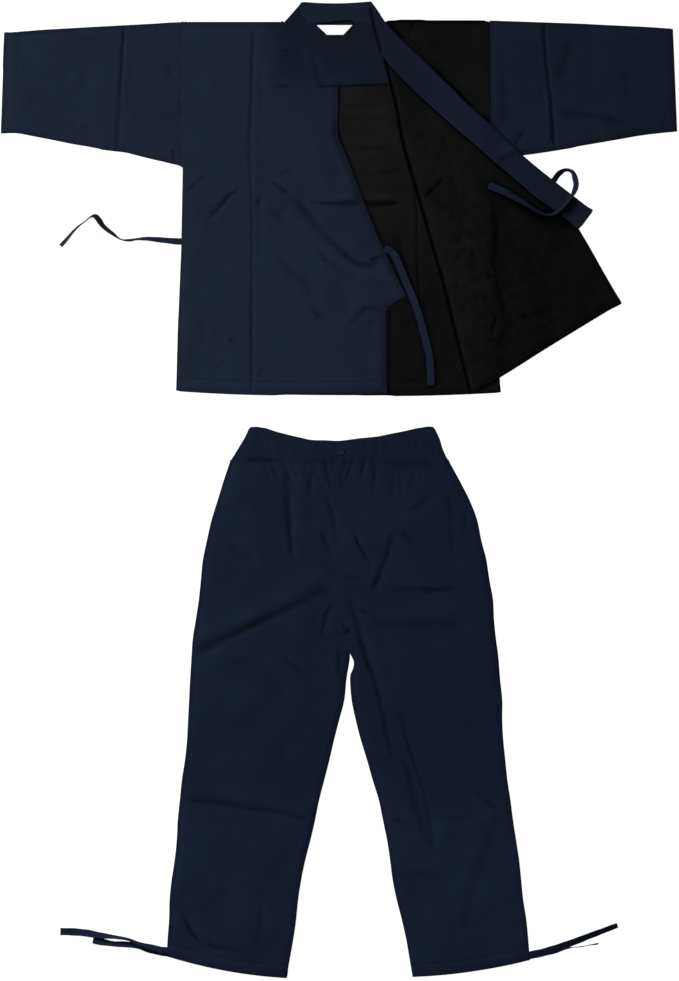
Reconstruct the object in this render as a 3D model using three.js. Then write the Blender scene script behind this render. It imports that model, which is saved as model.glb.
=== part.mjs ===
// A samue set laid out flat: a wrap jacket on its back, its left front folded open, and drawstring-hem
// trousers below it. Millimetres, +Z up. Every sheet of cloth is one closed wall. The sheets lie on
// each other in levels, and each one falls to the ground past the edge of what it lies on.
import * as THREE from "three";

// ---- Driving dimensions, in millimetres ----

const CLOTH = 1.2; // one sheet
const COLLAR_CLOTH = 2.0; // collar band: two sheets and an interlining
const BAND_CLOTH = 1.8; // waistband: two sheets and the elastic
const COLLAR_BACK_CLOTH = 2.4;
const TAPE = 1.0;
const TAPE_WIDTH = 13.5;
const LABEL_CLOTH = 1.0;
const GAP = 0.3; // between neighbours at a seam, and between one sheet and the next
const LAYER = CLOTH + GAP;
const LINING_INSET = 1.5; // the back's lining stops this far inside its shell
const ROLL = 1.8; // how far the left front's lining rolls past the fold
const ROW_STEP = 45; // longest step between the sections of a sheet that shows its folds
const PLAIN_STEP = 90; // the same on a plain sheet

const BACK_LEVEL = 0;
const LINING_LEVEL = LAYER;
const FRONT_LEVEL = 2 * LAYER;
const TURNED_LEVEL = 3 * LAYER;

// Past the jacket's left side the folded front comes down to the ground between these two distances.
const FALL = { start: 345, end: 425 };
const OVER_TURNED = 2 * LAYER + 0.2; // what lies on the folded front, above the front's own underside
const SLOPE_SLACK = 1.2; // more room over that slope
const TIE_SLACK = 0.8;
const TIE_OVER_TIE = 2.6;
const COLLAR_RISE_END = 0.7; // share of the right collar's width over which its free edge rises

const TROUSERS_BELOW_JACKET = 815; // from the shoulder line to the waist
const TROUSERS_ASIDE = 3;

const BUTTON = { x: 2, down: 21, radius: 5.8, rim: 1.0, thickness: 2.6, dish: 0.8, seat: 4.4 };

// ---- Tables. x runs to the wearer's left; down runs from the shoulder line or waist to the hem ----

// Back body: its side edges, section by section. sag bows a section towards the hem.
const BACK_SECTIONS = [
  { left: [-301, 0], right: [295, 0], sag: 0 },
  { left: [-302, 140], right: [295, 140], sag: 0 },
  { left: [-303, 277], right: [295, 277], sag: 0 },
  { left: [-307, 478], right: [309, 478], sag: 0 },
  { left: [-313, 595], right: [312, 595], sag: 2 },
  { left: [-316, 716], right: [315, 718], sag: 9 },
];

// Facing sewn inside the back neck.
const YOKE_SECTIONS = [
  { left: [-68, 3], right: [87.4, 3], sag: 0 },
  { left: [-54, 68], right: [94.5, 68], sag: 0 },
  { left: [-37, 125], right: [108, 119], sag: 0 },
];

const LABEL_SECTIONS = [
  { left: [-41, 5], right: [27, 5], sag: 0 },
  { left: [-22, 23], right: [10, 23], sag: 0 },
];

// Right front: side edge to collar seam, and below the collar to its own front edge.
const FRONT_RIGHT_SECTIONS = [
  { left: [-301, 0], right: [-106.4, 0], sag: 0 },
  { left: [-301.7, 92], right: [-87.4, 92], sag: 0 },
  { left: [-302.2, 166], right: [-61.4, 166], sag: 0 },
  { left: [-302.6, 228], right: [-46.4, 228], sag: 0 },
  { left: [-303.6, 306], right: [-17.4, 306], sag: 0 },
  { left: [-306.3, 443], right: [37.6, 443], sag: 0 },
  { left: [-311, 558], right: [92.6, 558.5], sag: 0 },
  { left: [-314, 640], right: [94, 642], sag: 2 },
  { left: [-316, 716], right: [95, 722], sag: 6 },
];

// The part of the left front that isn't folded back. Its top corner shows above the collar strip.
const UNTURNED_SECTIONS = [
  { left: [88, 0], right: [294.7, 0], sag: 0 },
  { left: [95, 68], right: [294.7, 68], sag: 0 },
  { left: [110, 121], right: [294.7, 121], sag: 0 },
  { left: [125, 228], right: [294.7, 228], sag: 0 },
  { left: [140, 283], right: [294.7, 280], sag: 0 },
  { left: [158, 343], right: [299, 343], sag: 0 },
  { left: [201, 493], right: [309, 493], sag: 0 },
  { left: [224, 585], right: [312, 585], sag: 0 },
  { left: [258, 722], right: [314.7, 717], sag: 0 },
];

// The part that is folded back: fold line to the middle of the collar strip, then to the front edge.
const TURNED_SECTIONS = [
  { left: [89, 68], right: [107, 54], sag: 0 },
  { left: [101, 117], right: [173, 121], sag: 0 },
  { left: [114, 172], right: [232, 176], sag: 0 },
  { left: [124, 228], right: [282, 219], sag: 0 },
  { left: [139, 283], right: [338, 271], sag: 0 },
  { left: [157, 343], right: [399, 322], sag: 0 },
  { left: [178, 417], right: [448, 360], sag: 0 },
  { left: [200, 493], right: [467.5, 403.5], sag: 0 },
  { left: [227, 601], right: [506, 470], sag: 0 },
  { left: [257, 724], right: [550, 546], sag: 0 },
];

// Collar on the right front. lift is how far its free edge stands above the right front's level.
const COLLAR_RIGHT_SECTIONS = [
  { left: [-106, 0], right: [-72, -39], lift: 0 },
  { left: [-96.6, 46], right: [-63, 8], lift: 1.6 },
  { left: [-87, 92], right: [-54, 53], lift: 1.6 },
  { left: [-77, 120], right: [-42, 92], lift: 1.6 },
  { left: [-67, 149], right: [-32.5, 122], lift: 1.6 },
  { left: [-65, 155], right: [-1, 125], lift: 1.6 },
  { left: [-61, 166], right: [-1, 138], lift: 1.6 },
  { left: [-52.8, 200], right: [-1, 172], lift: 0 },
  { left: [-36, 255], right: [-1, 218], lift: 0 },
  { left: [-17, 306], right: [17, 265], lift: 0 },
  { left: [11, 376], right: [40, 324], lift: 0 },
  { left: [38, 443], right: [76, 415], lift: 0 },
  { left: [65, 500], right: [104, 475], lift: 0 },
  { left: [93, 558], right: [132, 532], lift: 0 },
];

// Collar on the folded-back left front, from the neck out to its end. lift is above the folded front.
const COLLAR_LEFT_SECTIONS = [
  { left: [61, -29], right: [63, -41], lift: -1.5 },
  { left: [66, -5], right: [76, -23], lift: 0.1 },
  { left: [72, 20], right: [89, -3], lift: 0.3 },
  { left: [82, 55], right: [118, 29], lift: OVER_TURNED },
  { left: [100, 83], right: [135, 46], lift: OVER_TURNED },
  { left: [118, 103], right: [155, 65], lift: OVER_TURNED },
  { left: [146, 131], right: [192, 101], lift: OVER_TURNED },
  { left: [175, 158], right: [219, 127], lift: OVER_TURNED },
  { left: [221, 199], right: [249, 158], lift: OVER_TURNED },
  { left: [266, 238], right: [297, 201], lift: OVER_TURNED },
  { left: [311, 277], right: [340, 243], lift: OVER_TURNED + SLOPE_SLACK },
  { left: [350, 310], right: [375, 273], lift: OVER_TURNED + SLOPE_SLACK },
  { left: [389, 343], right: [414, 304], lift: OVER_TURNED + SLOPE_SLACK },
  { left: [432, 372], right: [454, 335], lift: OVER_TURNED + SLOPE_SLACK },
  { left: [467, 403], right: [494, 366], lift: OVER_TURNED + SLOPE_SLACK },
];

// Collar band behind the neck, lying flat above the shoulder line.
const COLLAR_BACK_SECTIONS = [
  { left: [-72, -39], right: [63, -40], sag: 3 },
  { left: [-89, -20], right: [75, -21], sag: 1 },
  { left: [-106, -0.4], right: [88, -0.4], sag: 0 },
];

// Sleeves, armhole to cuff: top is on the fold, bottom on the seam under the arm.
// rise is the height of the upper sheet's underside.
const SLEEVE_RIGHT_SECTIONS = [
  { top: [-301.4, -1], bottom: [-303.4, 280], rise: 3.0 },
  { top: [-330, 0], bottom: [-330, 271], rise: 2.8 },
  { top: [-360, 2], bottom: [-360, 264], rise: 2.4 },
  { top: [-416, 5], bottom: [-414, 251], rise: 2.0 },
  { top: [-473, 8], bottom: [-467, 244], rise: 1.8 },
  { top: [-525, 11], bottom: [-520, 235], rise: 1.8 },
  { top: [-578, 14], bottom: [-575, 224], rise: 1.8 },
  { top: [-615, 17], bottom: [-622, 215], rise: 1.8 },
  { top: [-650, 20], bottom: [-657, 214], rise: 1.8 },
];

const SLEEVE_LEFT_SECTIONS = [
  { top: [295.4, -4], bottom: [296, 279], rise: 3.0 },
  { top: [325, -3], bottom: [325, 267], rise: 2.6 },
  { top: [356, -2], bottom: [356, 257], rise: 2.1 },
  { top: [413, 0], bottom: [410, 249], rise: 1.9 },
  { top: [471, 2], bottom: [466, 240], rise: 1.8 },
  { top: [530, 5], bottom: [525, 230], rise: 1.8 },
  { top: [594, 8], bottom: [588, 219], rise: 1.8 },
  { top: [625, 10], bottom: [628, 214], rise: 1.8 },
  { top: [652, 12], bottom: [660, 211], rise: 1.8 },
];

// Legs: the side seams and inseams of both legs at each distance below the waist.
const LEG_SECTIONS = [
  { down: 76, outerRight: -226, innerRight: 5, innerLeft: 5.3, outerLeft: 232 },
  { down: 115, outerRight: -238, innerRight: 6, innerLeft: 6.3, outerLeft: 252 },
  { down: 154, outerRight: -250, innerRight: 8, innerLeft: 8.3, outerLeft: 267 },
  { down: 193, outerRight: -259, innerRight: 10, innerLeft: 10.3, outerLeft: 275 },
  { down: 232, outerRight: -267, innerRight: 11, innerLeft: 11.3, outerLeft: 285 },
  { down: 271, outerRight: -271, innerRight: 13, innerLeft: 13.3, outerLeft: 291 },
  { down: 310, outerRight: -275, innerRight: 15, innerLeft: 15.3, outerLeft: 298 },
  { down: 349, outerRight: -281, innerRight: 16, innerLeft: 16.3, outerLeft: 300 },
  { down: 388, outerRight: -287, innerRight: 18, innerLeft: 18.3, outerLeft: 304 },
  { down: 417, outerRight: -289, innerRight: 19, innerLeft: 19.3, outerLeft: 308 },
  { down: 466, outerRight: -292, innerRight: 12, innerLeft: 20, outerLeft: 312 },
  { down: 505, outerRight: -294, innerRight: 8, innerLeft: 23, outerLeft: 316 },
  { down: 544, outerRight: -296, innerRight: -2, innerLeft: 31, outerLeft: 316 },
  { down: 583, outerRight: -298, innerRight: -12, innerLeft: 41, outerLeft: 318 },
  { down: 622, outerRight: -302, innerRight: -21, innerLeft: 53, outerLeft: 322 },
  { down: 661, outerRight: -308, innerRight: -31, innerLeft: 64, outerLeft: 326 },
  { down: 700, outerRight: -312, innerRight: -41, innerLeft: 76, outerLeft: 332 },
  { down: 739, outerRight: -316, innerRight: -49, innerLeft: 84, outerLeft: 337 },
  { down: 778, outerRight: -318, innerRight: -58, innerLeft: 92, outerLeft: 343 },
  { down: 817, outerRight: -322, innerRight: -68, innerLeft: 98, outerLeft: 349 },
  { down: 856, outerRight: -328, innerRight: -76, innerLeft: 103, outerLeft: 353 },
  { down: 895, outerRight: -332, innerRight: -82, innerLeft: 111, outerLeft: 357 },
  { down: 934, outerRight: -333, innerRight: -86, innerLeft: 121, outerLeft: 363 },
  { down: 975, outerRight: -336, innerRight: -92, innerLeft: 130, outerLeft: 367 },
];
const LEG_TOP = {
  right: { left: [-213, 37.5], right: [4, 43.4], sag: 0 },
  left: { left: [4.3, 43.4], right: [211, 37.5], sag: 0 },
};
const LEG_HEM = {
  right: { left: [-337, 1004], right: [-105, 1046], sag: 8 },
  left: { left: [142, 1045], right: [370, 1012], sag: 6 },
};

// Waistband: its top edge and its gathered seam, from the wearer's right side to the left.
const WAISTBAND_SECTIONS = [
  { top: [-174, -24], seam: [-211, 37] },
  { top: [-160, -26], seam: [-190, 37.7] },
  { top: [-146, -25], seam: [-166, 38.4] },
  { top: [-125, -18], seam: [-133, 39.3] },
  { top: [-94, -10], seam: [-98, 40.2] },
  { top: [-58, -2], seam: [-50, 41.5] },
  { top: [0, 0], seam: [2, 42.9] },
  { top: [40, -5], seam: [40, 42] },
  { top: [70, -8], seam: [75, 41] },
  { top: [121, -18], seam: [125, 39.5] },
  { top: [154, -25], seam: [164, 38.4] },
  { top: [168, -26], seam: [190, 37.7] },
  { top: [180, -24], seam: [209, 37.2] },
];
const EDGE_FADE = 6; // folds reach their full height a sixth of the way in from a seam
const GATHERS_PER_SECTION = 2;
const GATHER_RISE = 0.8;

// Largest folds: a soft ridge from one end to the other, reach to each side of its crest.
const JACKET_FOLDS = [
  { from: [-87, 339], to: [7, 437], reach: 36, height: 3.2 },
  { from: [7, 437], to: [80, 448], reach: 30, height: 2.6 },
  { from: [-249, 374], to: [-190, 326], reach: 34, height: 2.6 },
  { from: [-132, 440], to: [-30, 575], reach: 36, height: 2.4 },
  { from: [-60, 348], to: [10, 352], reach: 26, height: 2.0 },
  { from: [-480, 70], to: [-500, 170], reach: 34, height: 2.2 },
  { from: [430, 60], to: [470, 190], reach: 34, height: 2.2 },
];
const TURNED_FOLDS = [
  { from: [290, 360], to: [314, 600], reach: 34, height: 2.6 },
  { from: [215, 400], to: [262, 560], reach: 32, height: 2.0 },
  { from: [400, 560], to: [500, 505], reach: 32, height: 2.0 },
];
const TROUSER_FOLDS = [
  { from: [-10, 300], to: [-230, 392], reach: 40, height: 3.6 },
  { from: [-110, 430], to: [-60, 510], reach: 34, height: 2.6 },
  { from: [-296, 716], to: [-70, 752], reach: 34, height: 2.8 },
  { from: [-96, 62], to: [-88, 225], reach: 30, height: 2.8 },
  { from: [40, 320], to: [176, 770], reach: 34, height: 3.4 },
  { from: [110, 300], to: [230, 300], reach: 32, height: 2.4 },
  { from: [180, 737], to: [255, 742], reach: 34, height: 2.6 },
  { from: [96, 180], to: [54, 290], reach: 32, height: 2.6 },
];

// Ties: the middle of the tape, how far it is turned up on one edge in degrees, and what it lies on.
const TIE_SIDE_RIGHT = [
  { at: [-306.8, 426], turn: 12, on: "ground" },
  { at: [-348, 424], turn: 38, on: "ground" },
  { at: [-368, 419], turn: 56, on: "ground" },
  { at: [-383, 421], turn: 50, on: "ground" },
  { at: [-395, 424], turn: 72, on: "ground" },
  { at: [-410, 424], turn: 66, on: "ground" },
  { at: [-427, 421], turn: 78, on: "ground" },
  { at: [-441, 411], turn: 62, on: "ground" },
  { at: [-453, 403], turn: 52, on: "ground" },
  { at: [-469, 387], turn: 46, on: "ground" },
  { at: [-477, 377], turn: 66, on: "ground" },
  { at: [-489, 386], turn: 80, on: "ground" },
  { at: [-503, 395], turn: 70, on: "ground" },
  { at: [-515, 406], turn: 60, on: "ground" },
  { at: [-527, 420], turn: 52, on: "ground" },
  { at: [-542, 437], turn: 48, on: "ground" },
];
const TIE_FRONT_RIGHT = [
  { at: [94.8, 442], turn: 4, on: "lining" },
  { at: [104, 446], turn: 6, on: "lining" },
  { at: [114, 455], turn: 8, on: "lining" },
  { at: [122, 474], turn: 6, on: "lining" },
  { at: [131, 499], turn: 4, on: "lining" },
  { at: [145, 536], turn: 8, on: "lining" },
  { at: [159, 577], turn: 10, on: "lining" },
  { at: [170, 618], turn: 6, on: "lining" },
  { at: [177, 649], turn: 4, on: "lining" },
  { at: [180, 681], turn: 4, on: "lining" },
  { at: [180, 707], turn: 4, on: "lining" },
];
const TIE_FRONT_LEFT = [
  { at: [420, 306], turn: 52, on: "ground" },
  { at: [432, 292], turn: 58, on: "ground" },
  { at: [446, 287], turn: 62, on: "ground" },
  { at: [459, 293], turn: 54, on: "ground" },
  { at: [466, 309], turn: 50, on: "ground" },
  { at: [462, 326], turn: 64, on: "strip" },
  { at: [456, 335], turn: 78, on: "strip" },
  { at: [447, 348], turn: 80, on: "strip" },
  { at: [436, 364], turn: 72, on: "strip" },
  { at: [424, 377], turn: 56, on: "strip" },
  { at: [408, 379], turn: 40, on: "turned" },
  { at: [387, 372], turn: 52, on: "turned" },
  { at: [370, 359], turn: 34, on: "turned" },
  { at: [354, 350], turn: 16, on: "turned" },
  { at: [323, 335], turn: 10, on: "turned" },
  { at: [296, 322], turn: 8, on: "turned" },
];
const TIE_HEM_RIGHT_LONG = [
  { at: [-339.4, 997], turn: -3, on: "ground" },
  { at: [-369, 986], turn: -8, on: "ground" },
  { at: [-397, 973], turn: -36, on: "ground" },
  { at: [-413, 968], turn: -72, on: "ground" },
  { at: [-441, 965], turn: -66, on: "ground" },
  { at: [-482, 960], turn: -52, on: "ground" },
  { at: [-509, 957], turn: -40, on: "ground" },
  { at: [-545, 956], turn: -30, on: "ground" },
];
const TIE_HEM_RIGHT_SHORT = [
  { at: [-340.4, 1003], turn: 3, on: "tape" },
  { at: [-369, 993], turn: 5, on: "tape" },
  { at: [-397, 985], turn: 30, on: "tape" },
  { at: [-419, 982], turn: 50, on: "ground" },
  { at: [-436, 981], turn: 58, on: "ground" },
  { at: [-467, 976], turn: 52, on: "ground" },
  { at: [-482, 974], turn: 44, on: "ground" },
];
const TIE_HEM_LEFT_LONG = [
  { at: [371.4, 1004], turn: 4, on: "ground" },
  { at: [397, 996], turn: 12, on: "ground" },
  { at: [429, 987], turn: 26, on: "ground" },
  { at: [450, 979], turn: 40, on: "ground" },
  { at: [476, 970], turn: 30, on: "ground" },
  { at: [521, 953], turn: 34, on: "ground" },
  { at: [541, 944], turn: 40, on: "ground" },
];
const TIE_HEM_LEFT_SHORT = [
  { at: [371, 1009], turn: 3, on: "tape" },
  { at: [397, 1003], turn: 6, on: "tape" },
  { at: [421, 999], turn: 40, on: "tape" },
  { at: [446, 994], turn: 66, on: "ground" },
  { at: [462, 991], turn: 80, on: "ground" },
  { at: [482, 986], turn: 70, on: "ground" },
  { at: [503, 981], turn: 58, on: "ground" },
];

// ---- Materials ----

const cloth = (color) => new THREE.MeshStandardMaterial({ color, roughness: 0.85, metalness: 0 });
const NAVY = cloth(0x1c2434);
const NAVY_TROUSERS = cloth(0x161d2a);
const LINING = cloth(0x111112);
const LABEL = cloth(0xf4f4f2);
const BUTTON_PLASTIC = new THREE.MeshStandardMaterial({ color: 0x10131a, roughness: 0.35, metalness: 0 });

// ---- Geometry of a wall of cloth ----

const mix = (a, b, t) => a + (b - a) * t;
const mixPoint = (a, b, t) => [mix(a[0], b[0], t), mix(a[1], b[1], t)];
const smooth = (t) => THREE.MathUtils.smoothstep(t, 0, 1);
const point = ([x, down], z) => new THREE.Vector3(x, -down, z);
const UP = new THREE.Vector3(0, 0, 1);

// Joins an outer and an inner grid of points, [row][column], into one closed wall. A wrapped grid's
// last column meets its first one, as on a tube.
function wall(outer, inner, wrapped = false) {
  const rows = outer.length;
  const columns = outer[0].length;
  const positions = [...outer.flat(), ...inner.flat()].flatMap((p) => p.toArray());
  const out = (row, column) => row * columns + (column % columns);
  const inside = (row, column) => rows * columns + out(row, column);
  const index = [];
  const quad = (a, b, c, d) => index.push(a, b, c, a, c, d);
  const spans = wrapped ? columns : columns - 1;
  for (let r = 0; r < rows - 1; r += 1) {
    for (let c = 0; c < spans; c += 1) {
      quad(out(r, c), out(r + 1, c), out(r + 1, c + 1), out(r, c + 1));
      quad(inside(r, c), inside(r, c + 1), inside(r + 1, c + 1), inside(r + 1, c));
    }
  }
  const rim = (a, b, innerA, innerB) => quad(b, a, innerA, innerB);
  for (let c = 0; c < spans; c += 1) {
    const last = rows - 1;
    rim(out(last, c), out(last, c + 1), inside(last, c), inside(last, c + 1));
    rim(out(0, c + 1), out(0, c), inside(0, c + 1), inside(0, c));
  }
  if (!wrapped) {
    const last = columns - 1;
    for (let r = 0; r < rows - 1; r += 1) {
      rim(out(r, 0), out(r + 1, 0), inside(r, 0), inside(r + 1, 0));
      rim(out(r + 1, last), out(r, last), inside(r + 1, last), inside(r, last));
    }
  }
  const geometry = new THREE.BufferGeometry();
  geometry.setAttribute("position", new THREE.Float32BufferAttribute(positions, 3));
  geometry.setIndex(signedVolume(positions, index) > 0 ? index : index.reverse());
  geometry.computeVertexNormals();
  return geometry;
}

function signedVolume(positions, index) {
  const corner = (n) => new THREE.Vector3().fromArray(positions, 3 * index[n]);
  let sum = 0;
  for (let n = 0; n < index.length; n += 3) {
    sum += corner(n).dot(corner(n + 1).cross(corner(n + 2)));
  }
  return sum / 6;
}

// More sections between those of a table, none further apart than step.
function subdivide(sections, first, second, step) {
  const result = [sections[0]];
  for (let n = 1; n < sections.length; n += 1) {
    const [a, b] = [sections[n - 1], sections[n]];
    const length = Math.max(
      Math.hypot(b[first][0] - a[first][0], b[first][1] - a[first][1]),
      Math.hypot(b[second][0] - a[second][0], b[second][1] - a[second][1]),
    );
    const parts = Math.max(1, Math.ceil(length / step));
    for (let k = 1; k <= parts; k += 1) {
      const t = k / parts;
      const between = {
        [first]: mixPoint(a[first], b[first], t),
        [second]: mixPoint(a[second], b[second], t),
      };
      for (const column of ["sag", "lift", "rise"]) {
        if (column in a) between[column] = mix(a[column], b[column], t);
      }
      result.push(between);
    }
  }
  return result;
}

// Points of a sheet in plan, [row][column]: { at: [x, down], across: 0 to 1, section }.
function planGrid(sections, columns, step = ROW_STEP) {
  return subdivide(sections, "left", "right", step).map((section) =>
    Array.from({ length: columns + 1 }, (_, c) => {
      const across = c / columns;
      const at = mixPoint(section.left, section.right, across);
      at[1] += 4 * (section.sag ?? 0) * across * (1 - across);
      return { at, across, section };
    }),
  );
}

// A flat-lying sheet: base gives the height of its underside at each point.
function sheet(grid, base, thickness = CLOTH) {
  const top = grid.map((row) => row.map((p) => point(p.at, base(p) + thickness)));
  const bottom = grid.map((row) => row.map((p) => point(p.at, base(p))));
  return wall(top, bottom);
}

// Height that the folds of a table add at a point.
function foldHeight(folds, [x, down]) {
  let height = 0;
  for (const fold of folds) {
    const along = [fold.to[0] - fold.from[0], fold.to[1] - fold.from[1]];
    const offset = [x - fold.from[0], down - fold.from[1]];
    const length = Math.hypot(...along);
    const t = THREE.MathUtils.clamp((offset[0] * along[0] + offset[1] * along[1]) / length ** 2, 0, 1);
    const distance = Math.hypot(offset[0] - t * along[0], offset[1] - t * along[1]);
    height = Math.max(height, fold.height * smooth(1 - distance / fold.reach));
  }
  return height;
}

// Folds die out towards the seams: 0 at both edges of a sheet, 1 over its middle.
const awayFromEdges = (across) => smooth(across * EDGE_FADE) * smooth((1 - across) * EDGE_FADE);

// Height of the folded-back front above the ground at a distance from the jacket's middle.
const turnedBase = (x) => TURNED_LEVEL * (1 - smooth((x - FALL.start) / (FALL.end - FALL.start)));

// ---- Jacket ----

function backShell() {
  return sheet(planGrid(BACK_SECTIONS, 6, PLAIN_STEP), () => BACK_LEVEL);
}

function backLining() {
  const inset = BACK_SECTIONS.map((section, n) => {
    const down = n === 0 ? LINING_INSET : n === BACK_SECTIONS.length - 1 ? -LINING_INSET : 0;
    return {
      left: [section.left[0] + LINING_INSET, section.left[1] + down],
      right: [section.right[0] - LINING_INSET, section.right[1] + down],
      sag: section.sag,
    };
  });
  return sheet(planGrid(inset, 6, PLAIN_STEP), () => LINING_LEVEL);
}

function frontRight() {
  const base = (p) => FRONT_LEVEL + foldHeight(JACKET_FOLDS, p.at) * awayFromEdges(p.across);
  return sheet(planGrid(FRONT_RIGHT_SECTIONS, 9), base);
}

function frontLeftUnturned() {
  return sheet(planGrid(UNTURNED_SECTIONS, 4, PLAIN_STEP), () => FRONT_LEVEL);
}

const turnedShellBase = (p) =>
  turnedBase(p.at[0]) + foldHeight(TURNED_FOLDS, p.at) * awayFromEdges(p.across);

function frontLeftShell() {
  return sheet(planGrid(TURNED_SECTIONS, 7), turnedShellBase);
}

// The lining lies on the shell's own points and rolls over its folded edge.
function frontLeftLining() {
  const grid = planGrid(TURNED_SECTIONS, 7);
  const outer = [];
  const inner = [];
  for (const row of grid) {
    const fold = row[0].at;
    const edge = (out, z) => point([fold[0] - out, fold[1]], z);
    const low = turnedShellBase(row[0]);
    const height = (p) => turnedShellBase(p) + LAYER;
    const top = row.map((p) => point(p.at, height(p) + CLOTH));
    const bottom = row.map((p) => point(p.at, height(p)));
    outer.push([edge(ROLL, low), edge(ROLL, low + LAYER), ...top]);
    inner.push([edge(GAP, low), edge(GAP, low + CLOTH), ...bottom]);
  }
  return wall(outer, inner);
}

function collarRight() {
  const base = (p) => FRONT_LEVEL + p.section.lift * Math.min(1, p.across / COLLAR_RISE_END);
  return sheet(planGrid(COLLAR_RIGHT_SECTIONS, 4, PLAIN_STEP), base, COLLAR_CLOTH);
}

function collarLeft() {
  const base = (p) => turnedBase(p.at[0]) + p.section.lift;
  return sheet(planGrid(COLLAR_LEFT_SECTIONS, 3, PLAIN_STEP), base, COLLAR_CLOTH);
}

function collarBack() {
  return sheet(planGrid(COLLAR_BACK_SECTIONS, 6), () => 0, COLLAR_BACK_CLOTH);
}

function neckYoke() {
  return sheet(planGrid(YOKE_SECTIONS, 4), () => FRONT_LEVEL);
}

function neckLabel() {
  return sheet(planGrid(LABEL_SECTIONS, 2), () => FRONT_LEVEL + LAYER, LABEL_CLOTH);
}

// A sleeve is one sheet folded along its top: lower half, fold, upper half.
function sleeve(sections, folds) {
  const columns = 6;
  const outer = [];
  const inner = [];
  for (const section of subdivide(sections, "top", "bottom", ROW_STEP)) {
    const along = (t) => mixPoint(section.top, section.bottom, t);
    const rise = (at, t) => section.rise + foldHeight(folds, at) * awayFromEdges(t);
    const outerRow = [];
    const innerRow = [];
    for (let c = columns; c >= 1; c -= 1) {
      outerRow.push(point(along(c / columns), 0));
      innerRow.push(point(along(c / columns), CLOTH));
    }
    const foldEdge = section.top;
    const bow = (section.rise + CLOTH) / 2;
    outerRow.push(point([foldEdge[0], foldEdge[1] + bow], 0));
    innerRow.push(point([foldEdge[0], foldEdge[1] + bow], CLOTH));
    outerRow.push(point(foldEdge, bow));
    innerRow.push(point([foldEdge[0], foldEdge[1] + CLOTH], bow));
    outerRow.push(point([foldEdge[0], foldEdge[1] + bow], section.rise + CLOTH));
    innerRow.push(point([foldEdge[0], foldEdge[1] + bow], section.rise));
    for (let c = 1; c <= columns; c += 1) {
      const at = along(c / columns);
      outerRow.push(point(at, rise(at, c / columns) + CLOTH));
      innerRow.push(point(at, rise(at, c / columns)));
    }
    outer.push(outerRow);
    inner.push(innerRow);
  }
  return wall(outer, inner);
}

// ---- Trousers ----

function legSections(side) {
  const [left, right] = side === "right" ? ["outerRight", "innerRight"] : ["innerLeft", "outerLeft"];
  const sections = LEG_SECTIONS.map((s) => ({ left: [s[left], s.down], right: [s[right], s.down], sag: 0 }));
  return [LEG_TOP[side], ...sections, LEG_HEM[side]];
}

function legBack(side) {
  return sheet(planGrid(legSections(side), 2, PLAIN_STEP), () => BACK_LEVEL);
}

function legFront(side) {
  const base = (p) => LAYER + foldHeight(TROUSER_FOLDS, p.at) * awayFromEdges(p.across);
  return sheet(planGrid(legSections(side), 6), base);
}

// The waistband is one ring lying flat, its front half gathered over its back half.
function waistband() {
  const stations = [];
  for (let n = 1; n < WAISTBAND_SECTIONS.length; n += 1) {
    const [a, b] = [WAISTBAND_SECTIONS[n - 1], WAISTBAND_SECTIONS[n]];
    for (let k = 0; k < GATHERS_PER_SECTION; k += 1) {
      const t = k / GATHERS_PER_SECTION;
      stations.push({ top: mixPoint(a.top, b.top, t), seam: mixPoint(a.seam, b.seam, t) });
    }
  }
  stations.push(WAISTBAND_SECTIONS.at(-1));
  const frontBase = BAND_CLOTH + GAP;
  const middle = frontBase / 2 + BAND_CLOTH / 2;
  const outer = [];
  const inner = [];
  for (const height of [0, 0.5, 1]) {
    const at = (s) => mixPoint(s.top, s.seam, height);
    const rise = (n) => frontBase + (n % 2) * GATHER_RISE;
    const aside = (p, x) => [p[0] + x, p[1]];
    const first = at(stations[0]);
    const last = at(stations.at(-1));
    const back = stations.toReversed();
    outer.push([
      ...stations.map((s, n) => point(at(s), rise(n) + BAND_CLOTH)),
      point(aside(last, middle), middle),
      ...back.map((s) => point(at(s), 0)),
      point(aside(first, -middle), middle),
    ]);
    inner.push([
      ...stations.map((s, n) => point(at(s), rise(n))),
      point(aside(last, middle - BAND_CLOTH), middle),
      ...back.map((s) => point(at(s), BAND_CLOTH)),
      point(aside(first, BAND_CLOTH - middle), middle),
    ]);
  }
  return wall(outer, inner, true);
}

function waistButton() {
  const { radius, rim, thickness, dish } = BUTTON;
  const profile = [
    [0, 0],
    [radius - 0.8, 0],
    [radius, 0.8],
    [radius, thickness - 0.4],
    [radius - 0.4, thickness],
    [radius - rim, thickness],
    [radius - rim - 0.8, thickness - dish],
    [0, thickness - dish],
  ];
  const geometry = new THREE.LatheGeometry(profile.map(([r, z]) => new THREE.Vector2(r, z)), 24);
  geometry.rotateX(Math.PI / 2);
  geometry.translate(BUTTON.x, -BUTTON.down, BUTTON.seat);
  return geometry;
}

// ---- Ties ----

// Height of the surface that a tie lies on, at a distance from the jacket's middle.
const SURFACE = {
  ground: () => 0,
  tape: () => TIE_OVER_TIE,
  lining: () => LINING_LEVEL + LAYER,
  turned: (x) => turnedBase(x) + 2 * LAYER + TIE_SLACK,
  strip: (x) => turnedBase(x) + OVER_TURNED + SLOPE_SLACK + COLLAR_CLOTH + GAP,
};

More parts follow.
